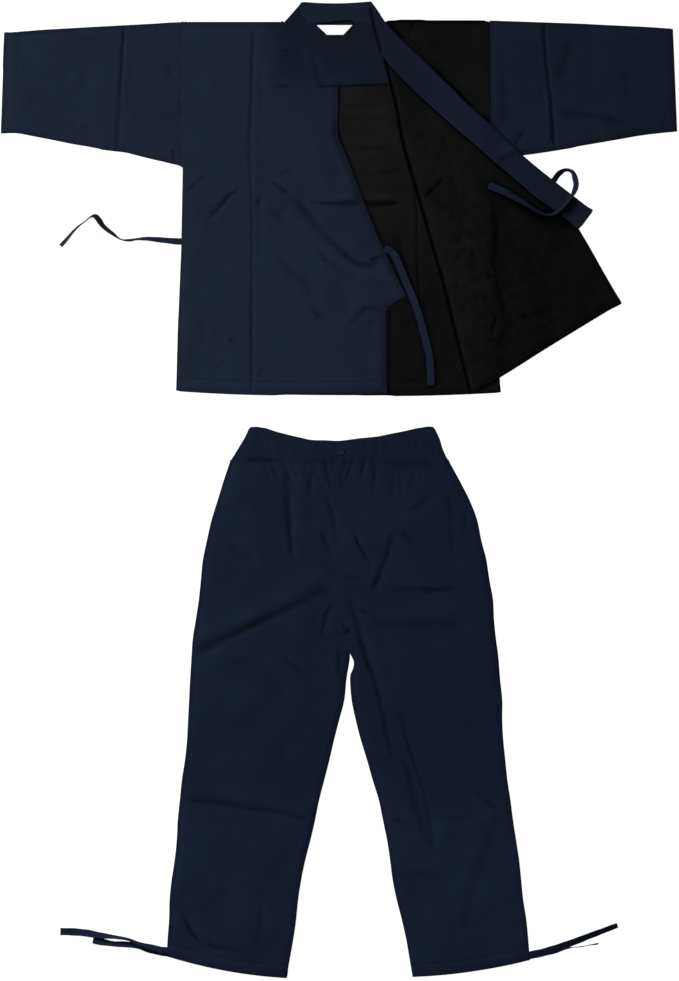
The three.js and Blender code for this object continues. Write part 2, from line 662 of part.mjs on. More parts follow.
function tie(stations) {
  const outer = [];
  const inner = [];
  stations.forEach((station, n) => {
    const before = stations[Math.max(0, n - 1)].at;
    const after = stations[Math.min(stations.length - 1, n + 1)].at;
    const heading = new THREE.Vector3(after[0] - before[0], before[1] - after[1], 0).normalize();
    const sideways = new THREE.Vector3(-heading.y, heading.x, 0);
    const turn = THREE.MathUtils.degToRad(station.turn);
    const width = sideways.clone().multiplyScalar(Math.cos(turn)).addScaledVector(UP, Math.sin(turn));
    const normal = heading.clone().cross(width);
    const lift = (TAPE_WIDTH / 2) * Math.abs(Math.sin(turn)) + (TAPE / 2) * Math.cos(turn);
    const middle = point(station.at, SURFACE[station.on](station.at[0]) + lift);
    const offset = (across, out) =>
      middle.clone().addScaledVector(width, across * TAPE_WIDTH).addScaledVector(normal, out * TAPE);
    outer.push([-0.5, 0, 0.5].map((across) => offset(across, 0.5)));
    inner.push([-0.5, 0, 0.5].map((across) => offset(across, -0.5)));
  });
  return wall(outer, inner);
}

// ---- Assembly ----

function named(name, geometry, material) {
  const mesh = new THREE.Mesh(geometry, material);
  mesh.name = name;
  return mesh;
}

const jacket = new THREE.Group();
jacket.add(
  named("back_shell", backShell(), NAVY),
  named("back_lining", backLining(), LINING),
  named("back_neck_yoke", neckYoke(), NAVY),
  named("neck_label", neckLabel(), LABEL),
  named("front_right", frontRight(), NAVY),
  named("front_left_unturned", frontLeftUnturned(), LINING),
  named("front_left_shell", frontLeftShell(), NAVY),
  named("front_left_lining", frontLeftLining(), LINING),
  named("sleeve_right", sleeve(SLEEVE_RIGHT_SECTIONS, JACKET_FOLDS), NAVY),
  named("sleeve_left", sleeve(SLEEVE_LEFT_SECTIONS, JACKET_FOLDS), NAVY),
  named("collar_back", collarBack(), NAVY),
  named("collar_right", collarRight(), NAVY),
  named("collar_left", collarLeft(), NAVY),
  named("tie_side_right", tie(TIE_SIDE_RIGHT), NAVY),
  named("tie_front_right", tie(TIE_FRONT_RIGHT), NAVY),
  named("tie_front_left", tie(TIE_FRONT_LEFT), NAVY),
);

const trousers = new THREE.Group();
trousers.position.set(TROUSERS_ASIDE, -TROUSERS_BELOW_JACKET, 0);
for (const side of ["right", "left"]) {
  trousers.add(named(`leg_back_${side}`, legBack(side), NAVY_TROUSERS));
  trousers.add(named(`leg_front_${side}`, legFront(side), NAVY_TROUSERS));
}
trousers.add(
  named("waistband", waistband(), NAVY_TROUSERS),
  named("waist_button", waistButton(), BUTTON_PLASTIC),
  named("tie_hem_right_long", tie(TIE_HEM_RIGHT_LONG), NAVY_TROUSERS),
  named("tie_hem_right_short", tie(TIE_HEM_RIGHT_SHORT), NAVY_TROUSERS),
  named("tie_hem_left_long", tie(TIE_HEM_LEFT_LONG), NAVY_TROUSERS),
  named("tie_hem_left_short", tie(TIE_HEM_LEFT_SHORT), NAVY_TROUSERS),
);

const samueSet = new THREE.Group();
samueSet.add(jacket, trousers);
samueSet.updateMatrixWorld(true);
const middle = new THREE.Box3().setFromObject(samueSet, true).getCenter(new THREE.Vector3());
samueSet.position.set(-middle.x, -middle.y, 0);

export default samueSet;
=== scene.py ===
"""A samue set laid flat, wrap jacket above and trousers below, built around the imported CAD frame.

Tables are in millimetres, in each garment's own plan: x runs to the wearer's left, and down runs from
the shoulder line or the waist to the hem. place() turns them into the shared frame.
"""

import copy
import math
from collections import namedtuple

import bpy
import numpy as np
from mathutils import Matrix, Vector
from mathutils.geometry import delaunay_2d_cdt
from mathutils.kdtree import KDTree


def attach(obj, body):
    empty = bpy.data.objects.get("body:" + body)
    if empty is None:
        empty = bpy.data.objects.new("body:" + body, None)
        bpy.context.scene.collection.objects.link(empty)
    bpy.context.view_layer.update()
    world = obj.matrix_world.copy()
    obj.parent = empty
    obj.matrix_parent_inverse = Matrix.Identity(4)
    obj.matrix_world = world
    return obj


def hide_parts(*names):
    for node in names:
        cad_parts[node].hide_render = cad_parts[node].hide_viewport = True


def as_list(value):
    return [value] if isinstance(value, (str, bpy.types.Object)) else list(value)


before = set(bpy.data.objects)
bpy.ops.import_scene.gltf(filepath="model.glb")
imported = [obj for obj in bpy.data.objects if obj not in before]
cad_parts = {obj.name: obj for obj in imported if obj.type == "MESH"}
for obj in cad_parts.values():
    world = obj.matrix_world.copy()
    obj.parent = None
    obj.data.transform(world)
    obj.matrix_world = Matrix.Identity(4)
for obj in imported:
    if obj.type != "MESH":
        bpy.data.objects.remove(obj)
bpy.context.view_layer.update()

# ---- Sizes, in millimetres ----

MM = 0.001
JACKET = (-1.5, 910.0)  # where the shoulder line's middle lies in the frame
TROUSERS = (1.5, 95.0)  # the same for the waist's middle
CLOTH = 1.2
COLLAR_CLOTH = 2.0
BAND_CLOTH = 1.8
LAYER = 1.5
TAPE_WIDTH = 14.2
TAPE = 1.1
TAPE_CURL = 0.3
MESH_STEP = 3.0  # spacing of the points of a surface that shows
COARSE_STEP = 9.0  # of one that hardly shows
HIDDEN_STEP = 14.0  # of an underside
CORNER = 22.0  # an outline that turns by more degrees than this has a corner there
RIM_INSET = 0.9  # width of a sheet's rounded edge
FREE_DROP = 0.35  # its rim lies lower than its face by this share of its thickness
SEAM_DROP = 0.06  # the same where it is sewn on
FOOT_DROP = 0.72  # the same for the lower edge of every rim
EDGE_GROWTH = 0.5  # free edges stand this much outside the CAD sheet
EDGE_PAINTED_SHADE = 0.45  # painted shade where the cloth's edge turns down
SEWN_WITHIN = 4.0  # edges of two sheets nearer than this are sewn together
SEAM_OVERLAP = 0.35  # sewn edges meet without a gap
EDGE_CALM = 15.0  # folds die down this far from a free edge
SEAM_WIDTH = 1.3  # half width of a seam's groove
HEM_WIDTH = 26.0  # how far the turned-in cloth beside a seam reaches
SHARP_REACH = 5.0  # a shade that reaches less far has a sharp edge
HOLLOW_REACH = 9  # steps over which a trough is told from the cloth around it
# strength of the painted shade in the cloth's troughs
HOLLOW_SHADE = 0.55
DEEP_HOLLOW_SHADE = 0.8  # for the lining
RELIEF = 0.85  # the share of the tables' depths and heights that creases and ridges get
CREASE_SHADE = 0.115  # how much painted shade darkens the cloth in a crease, for each millimetre of its depth
CREASE_REACH = 9  # a crease ends this many of its half widths from its line
CREASE_FADE = 32.0  # it dies away over this much of its length at each end
RIDGE_AT = 2.6  # the ridge beside a trough lies this many of its half widths away
STITCH_PITCH = 4.2
STITCH_LENGTH = 3.0
STITCH_RADIUS = 0.3
FALL = (345.0, 425.0)  # the folded front comes down to the ground between these
CROTCH = 418.0  # the legs part from here down
NECK_STEP = 1.7  # how much higher the right collar lies than the band behind the neck
ON_TURNED = 3.8  # height of what a tie lies on above the folded front's underside
ON_STRIP = 6.7  # the same where it lies on the collar strip
BAND_BASE = 2.1  # height of the waistband's upper sheet
BUTTON_MIDDLE = (3.5, 74.0, 4.4)
BUTTON_RADIUS = 5.8
BUTTON_RIM = 4.9  # radius of its raised rim
BUTTON_HOLE = 1.25  # how far its holes are from its middle, in x and in y

# ---- Tables ----


def rows_of(kind, rows):
    return [kind(*row) for row in rows]


# A crease: its line, the half width of its trough, the trough's depth, and the height of the ridge
# beside it, on the left of the line's direction if positive and on its right if negative.
Crease = namedtuple("Crease", "path width depth ridge")

JACKET_CREASES = rows_of(Crease, [
    # packing folds down the right front and across the sleeves
    ([(-166, 6), (-170, 131), (-173, 277), (-170, 345), (-170, 560), (-170, 734)], 3.4, 1.1, 0),
    ([(-176, 25), (-176, 90), (-178, 150)], 9, 0.3, 0),
    ([(-155, 80), (-154, 200), (-155, 330), (-156, 470)], 7, 0.35, 0),
    ([(-418, -6), (-423, 84), (-429, 162), (-434, 258)], 3.4, 2.0, 0.3),
    ([(-404, 20), (-409, 110), (-417, 210)], 6, 0.25, 0),
    ([(398, -14), (404, 66), (414, 152), (421, 252)], 3.6, 2.6, 0.3),
    ([(386, 10), (391, 100), (402, 200)], 6, 0.25, 0),
    # under the right arm
    ([(-264, 392), (-240, 367), (-211, 336), (-182, 317)], 4.5, 1.9, -0.3),
    ([(-304, 338), (-282, 316), (-252, 288)], 5.5, 0.9, -0.3),
    ([(-240, 320), (-246, 350), (-262, 400)], 9, 0.35, 0),
    ([(-240, 372), (-262, 430), (-280, 520)], 14, 0.5, 0),
    ([(-150, 332), (-158, 356), (-160, 372)], 4, 1.0, 0),
    # the long fold over the chest and its neighbours
    ([(-100, 339), (-83, 348), (-57, 376), (-31, 410), (3, 440), (32, 466), (57, 473), (100, 454)],
     7.5, 1.5, -0.6),
    ([(-132, 306), (-118, 318), (-92, 338)], 5, 1.2, -0.3),
    ([(-50, 437), (-13, 470), (20, 488), (44, 498)], 6, 0.8, -0.3),
    ([(-66, 346), (-30, 352), (22, 353), (52, 352)], 4.2, 1.4, 0.5),
    ([(-136, 428), (-120, 448), (-100, 478), (-64, 508), (-50, 552), (-22, 586)], 8, 0.7, 0.3),
    ([(-152, 362), (-128, 370), (-104, 398)], 7, 0.7, 0),
    ([(-130, 372), (-106, 366), (-84, 348)], 6, 0.5, 0),
    ([(11, 603), (36, 574), (60, 556), (78, 560), (102, 574)], 7, 1.1, 0.4),
    ([(48, 640), (58, 596), (84, 566)], 9, 0.3, 0),
    ([(-56, 552), (-38, 572), (-12, 584)], 8, 0.7, 0),
    ([(-126, 306), (-104, 290), (-80, 286)], 5, 0.4, 0),
    ([(58, 465), (78, 458), (96, 448)], 3.5, 2.2, 0.6),
    ([(60, 700), (90, 690), (110, 688)], 7, 0.3, 0.2),
    ([(-138, 662), (-150, 680), (-158, 694)], 5, 0.6, 0),
    ([(-262, 500), (-268, 560), (-262, 640)], 8, 0.3, 0),
    ([(-220, 617), (-206, 620), (-192, 618)], 5, 0.9, 0),
    ([(-242, 678), (-228, 664), (-214, 654)], 6, 0.5, 0),
    ([(-96, 470), (-110, 560), (-106, 640)], 12, 0.35, 0),
    # short marks on the right front's chest
    ([(-116, 53), (-100, 54), (-88, 53)], 2.6, 1.3, 0),
    ([(-114, 63), (-100, 63), (-90, 62)], 2.6, 1.0, 0),
    ([(-130, 126), (-106, 124), (-84, 126)], 4, 1.0, 0),
    ([(-60, 150), (-58, 210), (-50, 250)], 8, 0.2, 0),
    # right sleeve
    ([(-340, 60), (-332, 88), (-326, 116)], 6, 0.6, 0.2),
    ([(-312, 146), (-309, 168), (-307, 190)], 6, 0.8, 0),
    ([(-322, 244), (-320, 270)], 4, 1.6, 0),
    ([(-545, 76), (-543, 100), (-540, 118)], 10, 0.6, 0.2),
    ([(-470, 60), (-500, 96), (-508, 150)], 14, 0.2, 0.1),
    ([(-618, 40), (-600, 110), (-606, 190)], 14, 0.2, 0),
    ([(-352, 200), (-388, 180), (-408, 150)], 9, 0.35, 0.2),
    # the left shoulder beside the strip
    ([(142, -12), (143, 16), (142, 40)], 4, 3.4, 0),
    ([(124, -4), (126, 10), (130, 22)], 5, 0.3, 0),
    ([(176, 10), (180, 40), (188, 70)], 9, 0.5, 0.2),
    # left sleeve
    ([(454, 26), (440, 74), (428, 120)], 10, 1.3, 0.3),
    ([(422, 176), (458, 178), (496, 181), (566, 202)], 9, 1.1, 0.4),
    ([(553, 80), (560, 120), (562, 160)], 8, 0.5, 0),
    ([(314, 40), (320, 110), (322, 210)], 10, 0.8, 0.2),
    ([(366, 206), (352, 222), (345, 238), (346, 250)], 5, 1.8, 0),
    ([(596, 50), (604, 110), (598, 180)], 12, 0.2, 0),
    ([(468, 214), (500, 206), (520, 196)], 8, 0.2, 0.1),
])

LINING_CREASES = rows_of(Crease, [
    ([(-4, 352), (40, 352), (90, 353), (126, 349)], 4.5, 4.0, 1.4),
    ([(2, 184), (50, 185), (110, 184)], 5, 0.35, 0.3),
    ([(4, 159), (40, 162), (92, 159)], 4, 0.5, 0.3),
    ([(8, 244), (60, 245), (116, 244)], 5, 0.5, 0.2),
    ([(22, 292), (70, 294), (118, 284), (134, 268)], 7, 0.5, 0.2),
    ([(146, 292), (152, 380), (153, 460), (158, 548)], 2.4, 1.2, 0.2),
    ([(110, 386), (118, 430), (132, 480), (150, 540)], 6, 0.5, 0.2),
    ([(108, 590), (150, 584), (196, 596)], 6, 0.3, 0.2),
    ([(104, 690), (160, 696), (220, 690)], 6, 0.3, 0.2),
])

TURNED_CREASES = rows_of(Crease, [
    # the drop over the jacket's side edge, and the knot of wrinkles beside it
    ([(301, 352), (306, 400), (305, 440), (301, 478)], 6, 1.6, -0.4),
    ([(286, 452), (300, 470), (312, 500), (308, 524)], 3.5, 1.0, 0.6),
    ([(300, 484), (312, 520), (322, 560), (318, 612)], 5, 1.0, -0.5),
    ([(294, 556), (306, 578), (299, 604), (310, 626)], 3.5, 1.3, 0.5),
    ([(154, 339), (172, 335), (188, 321), (208, 298)], 6, 2.1, 0.4),
    ([(190, 420), (226, 424), (262, 452), (284, 470)], 6, 0.6, 0.4),
    ([(220, 470), (244, 452), (262, 470), (270, 500)], 6, 0.7, 0.4),
    ([(262, 520), (286, 540), (302, 580), (300, 610)], 6, 0.5, 0.5),
    ([(276, 470), (300, 500), (330, 510), (372, 500)], 7, 0.6, 0.4),
    ([(322, 560), (352, 574), (392, 566), (430, 552)], 7, 0.6, 0.4),
    ([(330, 610), (372, 604), (420, 580), (462, 546)], 6, 0.4, 0.4),
    ([(340, 460), (376, 452), (412, 462)], 8, 0.35, 0.2),
    ([(330, 400), (356, 420), (368, 452)], 9, 0.4, 0.2),
    ([(250, 360), (238, 400), (242, 440)], 7, 0.35, 0.2),
    ([(206, 350), (222, 380), (224, 410)], 6, 0.3, 0.2),
    ([(206, 520), (232, 514), (262, 520)], 6, 0.5, 0.3),
    ([(216, 600), (250, 612), (270, 650)], 8, 0.4, 0.2),
    ([(420, 480), (452, 500), (488, 508)], 8, 0.35, 0.2),
    ([(386, 392), (420, 410), (448, 400)], 8, 0.3, 0.2),
    ([(128, 150), (150, 160), (174, 156)], 6, 0.8, 0.3),
    ([(142, 230), (166, 222), (190, 226)], 7, 0.5, 0.2),
    ([(246, 640), (258, 680), (276, 706)], 8, 0.6, 0.3),
    ([(282, 640), (300, 620), (330, 628)], 6, 0.6, 0.3),
    ([(166, 366), (186, 440), (206, 510)], 10, 0.2, 0.2),
])

STRIP_CREASES = rows_of(Crease, [
    ([(306, 269), (326, 264), (344, 252), (349, 238)], 5, 1.5, 0.8),
    ([(328, 204), (336, 218), (346, 226)], 5, 0.3, 0),
    ([(172, 104), (178, 124), (186, 140)], 10, 0.3, 0.1),
    ([(428, 330), (440, 344), (444, 364)], 9, 0.4, 0.2),
])

TROUSER_CREASES = rows_of(Crease, [
    # right leg (on the viewer's left)
    ([(-8, 286), (-44, 296), (-78, 316), (-146, 348), (-214, 381), (-290, 418)], 9, 1.9, -1.4),
    ([(-8, 312), (-24, 334), (-32, 362), (-36, 392)], 5, 1.3, 0.3),
    ([(-122, 408), (-104, 428), (-84, 447), (-52, 476)], 6, 0.6, 0.3),
    ([(-222, 440), (-190, 434), (-160, 444), (-128, 474), (-90, 520)], 10, 0.5, 0.3),
    ([(-314, 700), (-250, 704), (-177, 716), (-119, 724), (-50, 742)], 6, 1.0, 0.7),
    ([(-223, 186), (-203, 212), (-183, 228), (-159, 246)], 8, 0.9, 0.3),
    ([(-170, 110), (-200, 128), (-214, 160)], 12, 0.3, 0.2),
    ([(-316, 914), (-300, 940), (-284, 966), (-262, 994)], 5.5, 1.5, 0.4),
    ([(-268, 974), (-240, 988), (-206, 992), (-188, 998)], 4.5, 0.9, 0.3),
    ([(-152, 890), (-158, 940), (-164, 1000)], 6, 0.6, 0.3),
    ([(-168, 884), (-150, 878), (-136, 892)], 5, 0.3, 0.1),
    ([(-288, 868), (-240, 870), (-204, 892)], 8, 0.3, 0.2),
    ([(-4, 398), (-1, 441), (-5, 478)], 5, 1.4, 0),
    ([(-296, 500), (-240, 506), (-190, 498)], 14, 0.2, 0.1),
    ([(-280, 620), (-180, 600), (-90, 616)], 16, 0.2, 0.1),
    ([(-248, 780), (-230, 830), (-236, 870)], 14, 0.2, 0.1),
    # left leg
    ([(13, 290), (22, 324), (31, 351), (40, 387), (55, 435), (70, 480), (79, 516), (91, 570), (102, 624)],
     6.5, 1.6, 0.5),
    ([(112, 519), (121, 546), (130, 581), (148, 638), (160, 674), (184, 792)], 4, 1.0, 0),
    ([(120, 606), (127, 632), (136, 656), (144, 698), (164, 757), (186, 806)], 8, 1.2, 0.4),
    ([(98, 294), (132, 290), (176, 292), (236, 286)], 6.5, 1.3, 0.7),
    ([(60, 352), (136, 362), (196, 360), (262, 348)], 9, 0.8, 1.0),
    ([(28, 322), (44, 332), (60, 338)], 4, 1.0, 0.3),
    ([(84, 372), (160, 380), (240, 366)], 11, 0.4, 0.2),
    ([(254, 685), (274, 693), (294, 709), (318, 731)], 6, 0.7, 0.3),
    ([(176, 728), (212, 736), (262, 734)], 6, 0.5, 0.2),
    ([(96, 738), (118, 742), (150, 756)], 6, 0.6, 0.2),
    ([(308, 716), (290, 776), (270, 840), (254, 890), (240, 962)], 10, 0.7, -0.3),
    ([(110, 850), (160, 846), (196, 852), (236, 848)], 10, 0.4, 0.2),
    ([(105, 170), (95, 210), (81, 250), (57, 304)], 7, 1.6, 0.4),
    ([(104, 172), (128, 184), (150, 206)], 8, 0.7, 0.2),
    ([(183, 88), (169, 110), (143, 134), (123, 144)], 9, 0.9, 0.3),
    ([(196, 90), (214, 120), (218, 160), (216, 220)], 6, 0.7, 0.1),
    ([(236, 130), (244, 160), (238, 190)], 6, 0.5, 0.1),
    ([(170, 560), (240, 552), (300, 560)], 16, 0.2, 0.1),
    ([(190, 440), (226, 436), (250, 446)], 9, 0.3, 0.1),
    ([(170, 950), (230, 940), (300, 946)], 14, 0.2, 0.1),
    # seat and fly
    ([(-103, 50), (-104, 100), (-100, 160), (-93, 238)], 6, 1.8, 0.6),
    ([(-30, 96), (-20, 130), (-10, 170), (2, 216)], 5, 0.8, 0.3),
    ([(-38, 168), (-28, 200), (-16, 232)], 5, 0.9, 0.3),
    ([(22, 168), (34, 196), (48, 222), (64, 252)], 3.6, 1.8, 0.3),
    ([(0, 262), (24, 268), (52, 264)], 5, 0.7, 0.2),
    ([(-86, 80), (-64, 130), (-60, 190)], 9, 0.3, 0.1),
    # crotch
    ([(2, 352), (12, 368), (26, 376)], 3.5, 1.1, 0.4),
    ([(0, 380), (12, 374), (22, 360)], 3.5, 1.1, 0.4),
])

# Seam lines: path, depth of the groove, and how much thicker the cloth is beside it, on the left of
# the path's direction if positive and on its right if negative.
Seam = namedtuple("Seam", "path groove step")

FLY = [(-9, 150), (-8, 190), (-2, 226), (8, 243), (24, 244), (34, 226), (34, 190)]
SEAMS = {
    "front_right": [
        Seam([(-316, 692), (-200, 698), (-100, 700), (95, 699)], 0.3, -0.35),
        Seam([(-292, 284), (-294, 400), (-298, 520), (-304, 640), (-306, 716)], 0.15, -0.1),
    ],
    "back_lining": [Seam([(80, 700), (200, 700), (314, 695)], 0.2, -0.3)],
    "front_left_lining": [
        Seam([(249, 712), (350, 652), (450, 592), (538, 537)], 0.2, 0.3),
        Seam([(526, 530), (490, 468), (450, 404)], 0.15, -0.2),
    ],
    "sleeve_right": [
        Seam([(-622, 12), (-628, 110), (-634, 218)], 0.12, 0.15),
        Seam([(-308, 0), (-309.5, 140), (-310, 276)], 0.3, 0),
    ],
    "sleeve_left": [
        Seam([(626, 8), (630, 110), (634, 216)], 0.12, -0.15),
        Seam([(302, 0), (302.5, 140), (303, 276)], 0.3, 0),
    ],
    "leg_front_right": [
        Seam([(-337, 981), (-280, 997), (-200, 1014), (-94, 1023)], 0.3, -0.4),
        Seam(FLY, 0.25, 0.15),
    ],
    "leg_front_left": [
        Seam([(135, 1022), (240, 1014), (310, 1002), (369, 989)], 0.3, -0.4),
        Seam(FLY, 0.25, 0.15),
        Seam([(208, 60), (213, 110), (217, 164), (220, 216)], 0.2, 0.12),
    ],
    "back_neck_yoke": [Seam([(-46, 118), (20, 116), (107, 113)], 0.3, 0)],
    "collar_right": [
        Seam([(-5, 130), (-6, 172), (-6, 216), (11, 264), (35, 326), (71, 416), (99, 477), (127, 533)],
             0.1, 0),
        Seam([(-101, 4), (-92, 48), (-82, 92), (-62, 150), (-48, 201), (-31, 256), (-12, 304), (16, 374),
              (43, 441), (70, 498), (98, 556)], 0.1, 0),
    ],
    "collar_left": [
        Seam([(78, -16), (93, 4), (121, 34), (158, 70), (195, 106), (251, 163), (299, 206), (342, 248),
              (377, 278), (416, 309), (455, 340), (491, 370)], 0.3, 0),
        Seam([(70, -2), (77, 18), (87, 51), (104, 78), (149, 126), (178, 153), (224, 194), (269, 233),
              (314, 272), (353, 305), (392, 338), (434, 367), (466, 398)], 0.3, 0),
    ],
    "collar_back": [Seam([(-100, -6), (0, -5), (86, -6)], 0.3, 0)],
}

# The line along which the left front is folded back, and the edges of the collar strip on it.
FOLD_LINE = [(89, 68), (101, 117), (114, 172), (124, 228), (139, 283), (157, 343), (178, 417), (200, 493),
             (227, 601), (257, 724)]
STRIP_NECK = [(61, -29), (66, -5), (72, 20), (82, 55)]
STRIP_LOWER = [(82, 55), (100, 83), (118, 103), (146, 131), (175, 158), (221, 199), (266, 238), (311, 277),
               (350, 310), (389, 343), (432, 372), (467, 403)]
STRIP_UPPER = [(89, -3), (118, 29), (135, 46), (155, 65), (192, 101), (219, 127), (249, 158), (297, 201)]
STRIP_ON_SLEEVE = [(297, 201), (340, 243), (375, 273)]
NECK_EDGE = [(-72, -39), (-60, 12), (-51, 57), (-39, 95), (-30, 124)]
KNOT = [(262, 430), (296, 470), (318, 560), (316, 640)]
WAIST_SEAM = [(-211, 37), (-133, 39), (-98, 40), (-50, 41.5), (2, 43), (40, 42), (75, 41), (125, 39.5),
              (209, 37)]
LABEL_EDGE = [(-40, 2), (28, 2), (12, 22), (-22, 22), (-40, 2)]

# Cloth in deep shade beside or under another piece: the line, how far the shade reaches and how deep it is.
Shade = namedtuple("Shade", "nodes path reach depth")

SHADES = rows_of(Shade, [
    (("front_left_lining", "back_lining"), FOLD_LINE, 3.0, 0.96),
    (("back_neck_yoke", "collar_back", "collar_left"), STRIP_NECK, 2.8, 0.85),
    (("front_left_lining",), STRIP_LOWER, 3.2, 0.85),
    (("front_left_unturned",), STRIP_UPPER, 6.0, 0.85),
    (("front_left_unturned",), [(88, -3), (295, -2)], 3.5, 0.8),
    (("front_left_unturned", "sleeve_left"), [(295, -2), (295.4, 100), (296, 196)], 1.8, 0.6),
    (("back_neck_yoke", "back_lining", "collar_right"),
     [(-37, 124), (-1, 123), (36, 121.5), (72, 119.5), (107, 118)], 2.0, 0.6),
    (("back_neck_yoke", "collar_back"), LABEL_EDGE, 2.2, 0.9),
    # beside the right front's edge
    (("back_lining",), [(2, 125), (2, 220), (20, 264), (61, 370), (107, 475), (134, 528)], 3.0, 0.5),
    (("back_lining",), [(100, 562), (99, 640), (98, 726)], 3.0, 0.5),
    # the deepest creases of the lining
    (("back_lining",), [(148, 300), (151, 340), (153, 376)], 2.2, 0.35),
    (("front_left_lining",), [(302, 366), (308, 400), (307, 440), (302, 480)], 6.0, 0.35),
    (("front_left_lining",), [(304, 350), (310, 440), (314, 520), (322, 610), (318, 660)], 24.0, 0.28),
    # the left collar below its crease
    (("collar_left",), [(318, 280), (338, 272), (358, 262)], 14.0, 0.22),
    # under the ties
    (("front_left_lining",),
     [(296, 321), (318, 331), (344, 345), (363, 356), (391, 373), (412, 380), (432, 378), (446, 388)],
     13.0, 0.9),
    (("back_lining", "front_right"),
     [(96, 442), (114, 456), (131, 499), (145, 536), (159, 577), (170, 618), (177, 649), (180, 681),
      (180, 706)], 10.0, 0.75),
    # the waist seam
    (("waistband", "leg_front_right", "leg_front_left"), WAIST_SEAM, 1.8, 0.08),
    (("waistband", "leg_front_right"), [(-176, 37), (-156, 36), (-134, 38)], 5.0, 0.4),
    (("waistband", "leg_front_left"), [(92, 42), (128, 45), (170, 43)], 6.0, 0.3),
    (("waistband", "leg_front_right", "leg_front_left"), [(-60, 40), (-46, 38), (-30, 41)], 5.0, 0.22),
])

# Small corrections of a sheet's outline: where, how far outward in millimetres, and over what reach.
Nudge = namedtuple("Nudge", "nodes path out reach")

NUDGES = rows_of(Nudge, [
    (("front_left_unturned",), [(100, 0), (282, 0)], 4.6, 9),
    (("front_left_unturned",), [(122, 0), (160, 0)], 1.4, 8),
    (("front_right",), [(-290, 0), (-110, 0)], 1.6, 10),
    (("collar_left",), [(478, 392), (494, 367)], 1.8, 9),
    (("collar_back",), [(-66, -39), (58, -41)], 2.2, 8),
    (("back_shell", "back_lining"), [(110, 730), (312, 718)], 2.6, 8),
    (("back_shell", "front_right"), [(-306, 718), (-126, 730)], 1.6, 8),
    (("back_shell", "front_right"), [(-100, 730), (36, 730)], -0.9, 8),
    (("front_left_lining", "front_left_shell"), [(470, 408), (550, 546), (300, 699)], 2.0, 12),
    (("sleeve_right",), [(-457, 250), (-330, 272)], 1.8, 12),
    (("sleeve_left",), [(360, 258), (450, 242)], 1.4, 12),
    (("sleeve_right",), [(-655, 20), (-660, 210)], 1.2, 10),
    (("sleeve_right",), [(-655, 24), (-657, 80)], 1.2, 10),
    (("waistband",), [(182, -22), (190, -5)], 3.5, 16),
    (("waistband",), [(-178, -26), (-170, -28)], 2.6, 12),
    (("leg_front_right", "leg_back_right"), [(-330, 1000), (-100, 1042)], 1.4, 10),
    (("leg_front_left", "leg_back_left"), [(21, 430), (21, 440)], -8.0, 11),
])

# Ties: what the tape lies on, the points of its middle there, and by how many degrees it stands on edge.
TIES = {
    "tie_side_right": (JACKET, {
        "ground": [(-299, 426, 14), (-312, 426, 24), (-348, 423, 40), (-375, 421, 55), (-394, 422, 68),
            (-407, 424, 65), (-425, 422, 80), (-439, 412, 64), (-450, 404, 55), (-461, 393.5, 50),
            (-468, 383, 42), (-475, 376.5, 50), (-482, 378, 70), (-492, 386, 76), (-508, 398, 70),
            (-517, 407, 64), (-530.5, 423, 56), (-541.5, 435, 50)],
    }),
    "tie_front_right": (JACKET, {
        "lining": [(90, 441, 8), (98, 443, 10), (107, 450, 8), (118, 472, 6), (129, 499, 4),
            (145, 536, 8), (159, 577, 10), (170, 618, 6), (177, 649, 4), (180, 681, 4), (180, 707, 4)],
    }),
    "tie_front_left": (JACKET, {
        "ground": [(412, 316, 12), (420, 307, 34), (430, 294, 46), (444.5, 287, 70), (454.5, 290, 70),
            (461, 303, 48), (463, 317, 46), (459.5, 329, 54)],
        "strip": [(455, 337, 64), (446, 348, 64), (436, 360.5, 66), (428, 367.5, 68)],
        "turned": [(415.5, 374, 68), (403, 374.5, 68), (391, 370, 64), (376, 361.5, 58), (363, 353, 50),
            (343.5, 341.5, 36), (318.5, 328, 16), (292.5, 318, 4)],
    }),
    "tie_hem_right_long": (TROUSERS, {
        "ground": [(-332, 995, 6), (-345, 993, 30), (-367, 987, 50), (-396, 978, 74), (-411.5, 971.5, 78),
            (-433, 967.5, 74), (-468, 963.5, 46), (-499, 959, 20), (-520, 957.5, 6), (-545.5, 957, 2)],
    }),
    "tie_hem_right_short": (TROUSERS, {
        "tape": [(-332, 998.5, 0), (-345, 997, 2), (-367, 992, 12)],
        "ground": [(-396, 983.5, 50), (-421, 981, 46), (-441.5, 980, 56), (-455, 978, 44),
            (-467, 976, 30), (-482, 973.5, 4)],
    }),
    "tie_hem_left_long": (TROUSERS, {
        "ground": [(364, 1004, 4), (375, 1001.5, 8), (400, 995.5, 12), (435, 984.5, 14), (461, 975, 20),
            (487.5, 964.5, 28), (515, 954, 34), (541, 944, 38)],
    }),
    "tie_hem_left_short": (TROUSERS, {
        "tape": [(364, 1005, 2), (375, 1002.5, 4), (400, 997, 8), (424, 991.5, 30)],
        "ground": [(440, 988.5, 62), (452, 987, 76), (468, 985.5, 82), (487.5, 982, 76),
            (503, 979.5, 68)],
    }),
}

# ---- Plan geometry ----


def place(origin, points):
    """Points of a garment's plan in the shared frame, still in millimetres."""
    points = np.asarray(points, float)
    return np.column_stack((origin[0] + points[:, 0], origin[1] - points[:, 1]))


def smooth_step(t):
    """0 up to 0, 1 from 1 on, and smooth between them."""
    t = np.clip(t, 0, 1)
    return t * t * (3 - 2 * t)


def span(value, start, end):
    """0 up to start, 1 from end on."""
    return smooth_step((value - start) / (end - start))


def bell(value, width):
    """1 at 0, and soon 0 beyond the width on either side."""
    return np.exp(-((value / width) ** 2))


